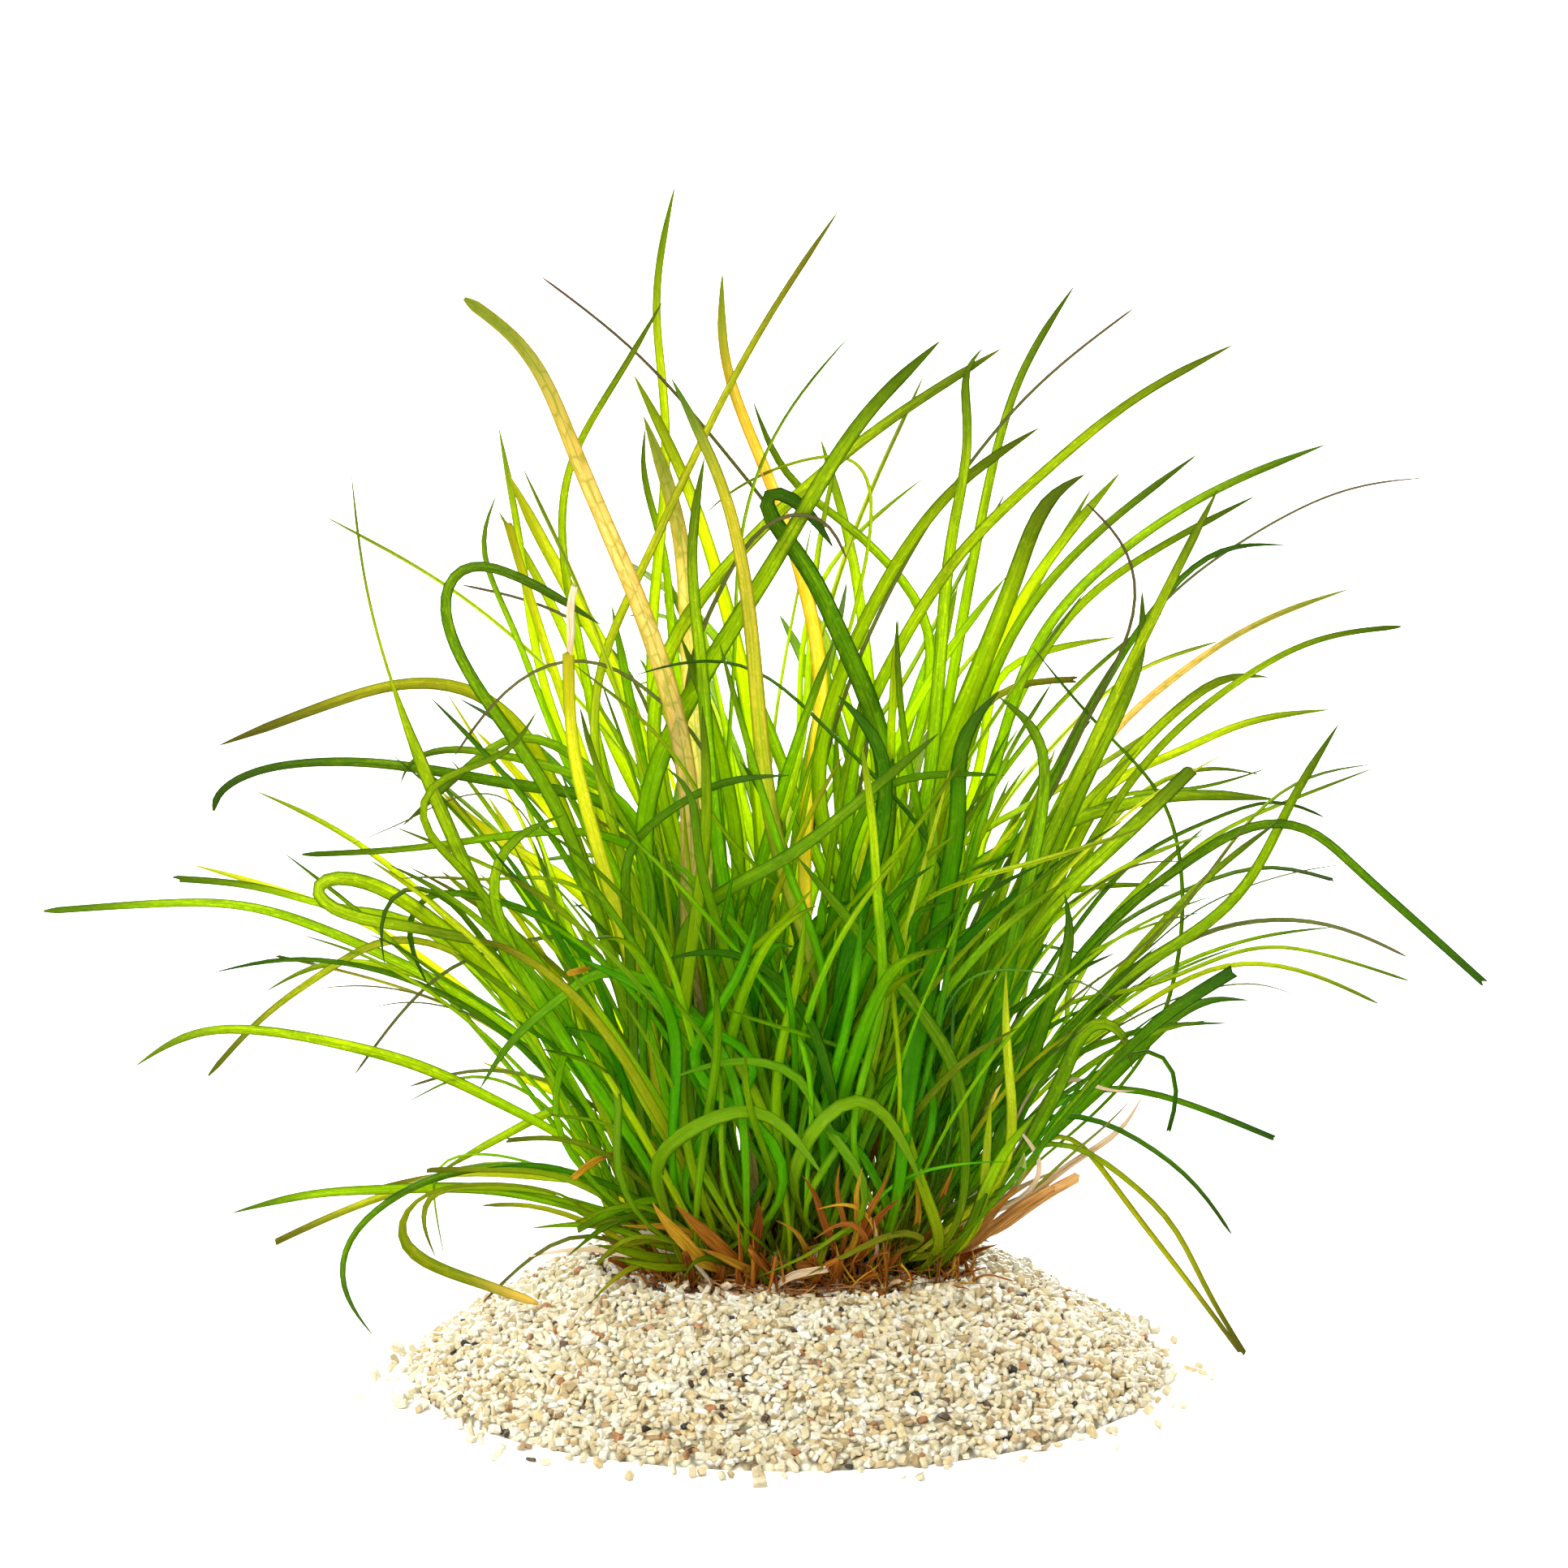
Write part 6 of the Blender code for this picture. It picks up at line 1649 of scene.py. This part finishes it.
@dataclass
class SandHeap:
    """The heap of loose quartz sand: its solid, covered with grains."""

    nodes: dict[str, bpy.types.Object]
    finish: GrainFinish = field(default_factory=GrainFinish)
    half_width: float = 50.5
    half_depth: float = 50.5
    spacing: float = 1.02
    row_share: float = 0.87
    shake: float = 0.22
    grain: float = 1.08
    smallest: float = 0.66
    largest: float = 1.34
    kinds: int = 24
    strays: int = 260
    stray_reach: float = 7.5
    plug_half_width: float = 24.6
    plug_half_depth: float = 18.6
    plug_rim: Pair = (0.66, 0.96)
    above: float = 60.0
    bedding: Pair = (-0.05, 0.45)
    stray_level: float = 0.55
    pieces: int = 3

    def grain_kinds(self, rng: np.random.Generator) -> list[tuple[np.ndarray, np.ndarray]]:
        """Shapes the kinds of grain, worn blocks with their edges taken off.

        Args:
            rng: Varies the grains.

        Returns:
            The vertices and the triangles of each kind, a unit across.
        """
        kinds = []
        for _ in range(self.kinds):
            bm = bmesh.new()
            bmesh.ops.create_cube(bm, size=0.80)
            for v in bm.verts:
                v.co += Vector(rng.uniform(-0.17, 0.17, 3))
            bmesh.ops.bevel(bm, geom=bm.edges[:], offset=float(rng.uniform(0.08, 0.17)),
                            affect="EDGES", segments=1, profile=0.5, material=-1)
            long = float(rng.uniform(1.1, 1.9))
            flat = float(rng.uniform(0.62, 1.0))
            bmesh.ops.scale(bm, verts=bm.verts[:], vec=Vector((long, 0.94, flat)))
            bmesh.ops.triangulate(bm, faces=bm.faces[:])
            bm.verts.index_update()
            corners = np.array([v.co[:] for v in bm.verts])
            faces = np.array([[v.index for v in face.verts] for face in bm.faces])
            kinds.append((corners, faces))
            bm.free()
        return kinds

    def places(self, rng: np.random.Generator) -> list[Vector]:
        """Chooses where the grains lie, on the heap, round the root ball and on the floor by it.

        Args:
            rng: Shakes the places.

        Returns:
            The places, in millimetres.
        """
        ground = rooms(self.nodes[name] for name in ("sand_mound", "root_ball"))
        found = []
        bare, full = self.plug_rim
        rows = int(self.half_depth / (self.spacing * self.row_share)) + 1
        columns = int(self.half_width / self.spacing) + 1
        for row in range(-rows, rows + 1):
            for column in range(-columns, columns + 1):
                x = (column + 0.5 * (row % 2)) * self.spacing + rng.normal(0.0, self.shake)
                y = row * self.spacing * self.row_share + rng.normal(0.0, self.shake)
                if math.hypot(x / self.half_width, y / self.half_depth) > 1.0:
                    continue
                plug = math.hypot(x / self.plug_half_width, y / self.plug_half_depth)
                if rng.uniform() > (plug - bare) / (full - bare):
                    continue
                hit = ground.ray_cast(Vector((x, y, self.above)), -UP_AXIS)[0]
                if hit is not None:
                    found.append(hit + Vector((0.0, 0.0, rng.uniform(*self.bedding))))
        for _ in range(self.strays):
            turn = rng.uniform(0.0, math.tau)
            out = self.half_width - 1.5 + abs(rng.normal(0.0, 1.0)) * self.stray_reach * 0.45
            out = min(out, self.half_width + self.stray_reach)
            found.append(Vector((out * math.cos(turn), out * math.sin(turn), self.stray_level)))
        return found

    def build(self, rng: np.random.Generator) -> None:
        """Dresses the heap's solid and covers it with grains.

        Args:
            rng: Varies the grains and their places.
        """
        heap = self.nodes["sand_mound"]
        heap.data.materials.clear()
        heap.data.materials.append(self.finish.bed_material())
        kinds = self.grain_kinds(rng)
        places = self.places(rng)
        order = rng.permutation(len(places))
        material = self.finish.material()
        for number, share in enumerate(np.array_split(order, self.pieces), start=1):
            mesh = self.scatter([places[i] for i in share], kinds, rng, f"sand_grains_{number}")
            piece = dressed(mesh, f"sand_grains_{number}", [material])

    def scatter(self, places: list[Vector], kinds: list[tuple[np.ndarray, np.ndarray]],
                rng: np.random.Generator, name: str) -> bpy.types.Mesh:
        """Joins turned and sized copies of the kinds into one mesh in metres.

        Args:
            places: Where the grains lie.
            kinds: The kinds of grain.
            rng: Chooses each grain's kind, turn and size.
            name: The mesh's name.

        Returns:
            The mesh, with each grain's own number as its attribute chance.
        """
        corners = []
        faces = []
        chances = []
        start = 0
        for place in places:
            shape, sides = kinds[int(rng.integers(len(kinds)))]
            spin = rng.uniform(0, math.tau)
            turn = np.array(Matrix.Rotation(spin, 3, Vector(rng.normal(size=3))))
            size = self.grain * rng.uniform(self.smallest, self.largest)
            moved = shape @ turn.T * size
            low = float(moved[:, 2].min())
            lift = max(0.0, -low - place.z)
            corners.append(moved + np.array(place) + np.array((0.0, 0.0, lift)))
            faces.append(sides + start)
            chances.append(np.full(len(shape), rng.uniform()))
            start += len(shape)
        mesh = bpy.data.meshes.new(name)
        mesh.from_pydata(np.concatenate(corners) * MM, [], np.concatenate(faces))
        layer = mesh.attributes.new("chance", "FLOAT", "POINT")
        layer.data.foreach_set("value", np.concatenate(chances).astype(np.float32))
        mesh.update()
        return mesh


@dataclass
class RootBall:
    """The flat ball of roots and rotten sheaths that the plantlets stand on."""

    nodes: dict[str, bpy.types.Object]
    half_width: float = 22.5
    half_depth: float = 16.5
    top: float = 15.0
    fibres: int = 420
    fibre_step: float = 1.9
    rim: float = 1.04
    sheaths: int = 150
    tangles: tuple[tuple[float, float, float, int], ...] = (
        (9.5, 13.0, 6.5, 90), (-14.5, 12.0, 5.0, 40), (20.5, 9.5, 4.5, 45), (-3.0, 14.5, 4.5, 30))

    def material(self) -> bpy.types.Material:
        """Builds the matted brown surface of the solid.

        Returns:
            The material.
        """
        g = Graph("root_mat")
        mat = g.add("TexNoise", Vector=g.where(), Scale=420.0, Detail=6.0, Roughness=0.7,
                    Distortion=1.5)
        colour = g.ramp(mat.outputs["Fac"], (
            (0.30, shade(0.16, 0.09, 0.05)), (0.50, shade(0.40, 0.22, 0.09)),
            (0.66, shade(0.62, 0.38, 0.16)), (0.80, shade(0.78, 0.58, 0.32))))
        bump = g.add("Bump", Strength=1.0, Distance=0.0008, Height=mat.outputs["Fac"])
        skin = g.add("BsdfPrincipled", Base_Color=colour, Roughness=0.8, Normal=bump.outputs[0])
        return g.finish(skin.outputs[0])

    def build(self, palette: Palette, rng: np.random.Generator) -> None:
        """Dresses the solid and covers it with fibres and old sheaths.

        Args:
            palette: The plant's materials.
            rng: Varies the fibres.
        """
        ball = self.nodes["root_ball"]
        ball.data.materials.clear()
        ball.data.materials.append(self.material())
        self.add_mat(palette.husk(FIBRE), rng)
        self.add_sheaths(palette, rng)
        self.add_tangles(palette, rng)

    def somewhere(self, rng: np.random.Generator) -> Vector:
        """Returns a place on the ball's top."""
        turn = rng.uniform(0.0, math.tau)
        out = math.sqrt(rng.uniform())
        return Vector((out * self.half_width * math.cos(turn),
                       out * self.half_depth * math.sin(turn), self.top))

    def add_mat(self, material: bpy.types.Material, rng: np.random.Generator) -> None:
        """Adds the fibres that run over the ball.

        Args:
            material: The fibres' material.
            rng: Varies them.
        """
        shape = BladeShape(step=1.6, thickness=0.28, fold=0.0, profile=FIBRE_PROFILE)
        bm = new_blade_mesh()
        for _ in range(self.fibres):
            point = self.somewhere(rng)
            heading = rng.uniform(0.0, math.tau)
            points = []
            count = int(rng.integers(5, 9))
            hump = rng.uniform(0.2, 2.0)
            for i in range(count):
                rise = hump * math.sin(math.pi * i / (count - 1))
                points.append(point + Vector((0.0, 0.0, rise + rng.normal(0.0, 0.12))))
                heading += rng.normal(0.0, 0.5)
                way = Vector((math.cos(heading), math.sin(heading), 0.0))
                point = point + way * self.fibre_step
                reach = math.hypot(point.x / self.half_width, point.y / self.half_depth)
                if reach > self.rim:
                    point.xy *= self.rim / reach
            self.add_strip(bm, shape, points, float(rng.uniform(0.25, 0.6)), rng)
        piece = finished(bm, "root_fibres", [material])

    def add_sheaths(self, palette: Palette, rng: np.random.Generator) -> None:
        """Adds the old sheaths and straws that stand among the leaves' feet.

        Args:
            palette: The plant's materials.
            rng: Varies them.
        """
        shape = BladeShape(step=1.8, thickness=0.22, fold=0.3, waviness=0.3)
        bm = new_blade_mesh()
        for _ in range(self.sheaths):
            foot = self.somewhere(rng)
            heading = math.atan2(foot.y, foot.x) + rng.normal(0.0, 0.8)
            lean = rng.uniform(0.1, 1.1)
            length = rng.uniform(3.5, 11.0)
            points = [foot - UP_AXIS * 0.5]
            for _ in range(4):
                points.append(points[-1] + leaning(heading, lean) * length / 4)
                lean += rng.normal(0.12, 0.2)
                heading += rng.normal(0.0, 0.3)
            for point in points[1:]:
                point.z = max(point.z, self.top + 0.4)
            slot = 0 if rng.uniform() < 0.62 else 1
            self.add_strip(bm, shape, points, float(rng.uniform(0.8, 2.1)), rng, slot)
        piece = finished(bm, "old_sheaths", [palette.husk(RUST), palette.husk(STRAW)])

    def add_tangles(self, palette: Palette, rng: np.random.Generator) -> None:
        """Adds the fine rusty roots that stand up in tangles at the front of the ball.

        Args:
            palette: The plant's materials.
            rng: Varies them.
        """
        shape = BladeShape(step=1.3, thickness=0.24, fold=0.0, profile=FIBRE_PROFILE)
        bm = new_blade_mesh()
        for across, front, radius, count in self.tangles:
            for _ in range(count):
                point = Vector((across + rng.normal(0.0, 0.5 * radius),
                                -front + rng.normal(0.0, 1.6), self.top - 0.3))
                heading = rng.uniform(0.0, math.tau)
                tilt = rng.uniform(0.1, 1.1)
                points = [point]
                for _ in range(int(rng.integers(5, 9))):
                    heading += rng.normal(0.0, 0.7)
                    tilt += rng.normal(0.08, 0.35)
                    points.append(points[-1] + leaning(heading, tilt, 0.6) * 0.2 * radius)
                for point in points[1:]:
                    point.z = max(point.z, self.top + 0.2)
                slot = 0 if rng.uniform() < 0.7 else 1
                self.add_strip(bm, shape, points, float(rng.uniform(0.22, 0.6)), rng, slot)
        piece = finished(bm, "rust_roots", [palette.husk(RUST), palette.husk(AMBER)])

    @staticmethod
    def add_strip(bm: bmesh.types.BMesh, shape: BladeShape, points: list[Vector], width: float,
                  rng: np.random.Generator, slot: int = 0) -> None:
        """Adds one strip along a course, facing any way.

        Args:
            bm: The mesh.
            shape: The strip's form.
            points: Its course, foot first.
            width: Its width.
            rng: Chooses its facing and its own number.
            slot: The number of its material.
        """
        ways = ways_along(points)
        spin = Vector(rng.normal(size=3)).normalized()
        sides = [way.cross(spin).normalized() for way in ways]
        backs = [way.cross(side).normalized() for way, side in zip(ways, sides)]
        tip = Tip.CUT if rng.uniform() < 0.5 else Tip.POINTED
        line = LeafLine(points, sides, backs, [width] * len(points), tip=tip)
        shape.add(bm, line, float(rng.uniform()), slot)


@dataclass
class Studio:
    """The white ground, the soft light from all round, a bright panel behind and the camera."""

    view: Viewpoint
    floor_size: float = 14.0
    sky: float = 1.0
    panel_place: tuple[float, float, float] = (0.0, 1.15, 0.62)
    panel_size: Pair = (1.7, 0.95)
    panel_power: float = 56.0
    front_place: tuple[float, float, float] = (-0.6, -1.1, 1.0)
    front_size: Pair = (1.4, 1.0)
    front_power: float = 34.0
    aim_height: float = 0.07

    def build(self) -> None:
        """Builds the floor, the lights and the camera, in metres."""
        self.add_floor()
        self.add_world()
        self.add_light("back_panel", self.panel_place, self.panel_size, self.panel_power)
        self.add_light("front_light", self.front_place, self.front_size, self.front_power)
        self.add_camera()

    def add_floor(self) -> None:
        """Adds the plain white floor."""
        bm = bmesh.new()
        bmesh.ops.create_grid(bm, x_segments=1, y_segments=1, size=self.floor_size / 2)
        mesh = bpy.data.meshes.new("white_floor")
        bm.to_mesh(mesh)
        bm.free()
        g = Graph("white_card")
        mesh.materials.append(g.finish(g.add(
            "BsdfDiffuse", Color=(0.93, 0.93, 0.93), Roughness=0.6).outputs[0]))
        floor = bpy.data.objects.new("white_floor", mesh)
        bpy.context.collection.objects.link(floor)

    def add_world(self) -> None:
        """Makes the white surroundings that light the plant from every side."""
        world = bpy.data.worlds.new("white_room")
        world.use_nodes = True
        ground = world.node_tree.nodes["Background"]
        ground.inputs["Color"].default_value = (1.0, 1.0, 1.0, 1.0)
        ground.inputs["Strength"].default_value = self.sky
        bpy.context.scene.world = world

    def add_light(self, name: str, place: tuple[float, float, float], size: Pair,
                  power: float) -> None:
        """Adds one soft light that points at the tuft.

        Args:
            name: The light's name.
            place: Where it hangs, in metres.
            size: How wide and high it is, in metres.
            power: Its power in watts.
        """
        lamp = bpy.data.lights.new(name, "AREA")
        lamp.shape = "RECTANGLE"
        lamp.size, lamp.size_y = size
        lamp.energy = power
        light = bpy.data.objects.new(name, lamp)
        light.location = place
        aim = Vector((0.0, 0.0, self.aim_height)) - Vector(place)
        light.rotation_euler = aim.to_track_quat("-Z", "Y").to_euler()
        bpy.context.collection.objects.link(light)

    def add_camera(self) -> None:
        """Adds the camera at the photograph's viewing angle."""
        lens = bpy.data.cameras.new("camera")
        lens.sensor_width = self.view.sensor
        lens.lens = self.view.sensor * self.view.distance / self.view.frame_width
        lens.clip_end = 50.0
        camera = bpy.data.objects.new("camera", lens)
        camera.location = self.view.eye * MM
        camera.rotation_euler = (math.pi / 2 - self.view.tilt, 0.0, 0.0)
        bpy.context.collection.objects.link(camera)
        bpy.context.scene.camera = camera


def main() -> None:
    """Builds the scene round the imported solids."""
    logging.basicConfig(level=logging.INFO, format="%(name)s: %(message)s")
    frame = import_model()
    bpy.context.scene.view_settings.view_transform = "Standard"
    rng = np.random.default_rng(SEED)
    view = Viewpoint()
    palette = Palette()
    Studio(view).build()
    SandHeap(frame["nodes"]).build(rng)
    RootBall(frame["nodes"]).build(palette, rng)
    OuterLeaves(frame["record"], frame["nodes"]).build(palette, rng)
    Rosettes(frame["nodes"], view).build(palette, rng)
    InnerLeaves().build(palette, rng)
    FrontArcs(view).build(palette, rng)
    LooseStrands(view).build(palette, rng)


if __name__ == "__main__":
    main()
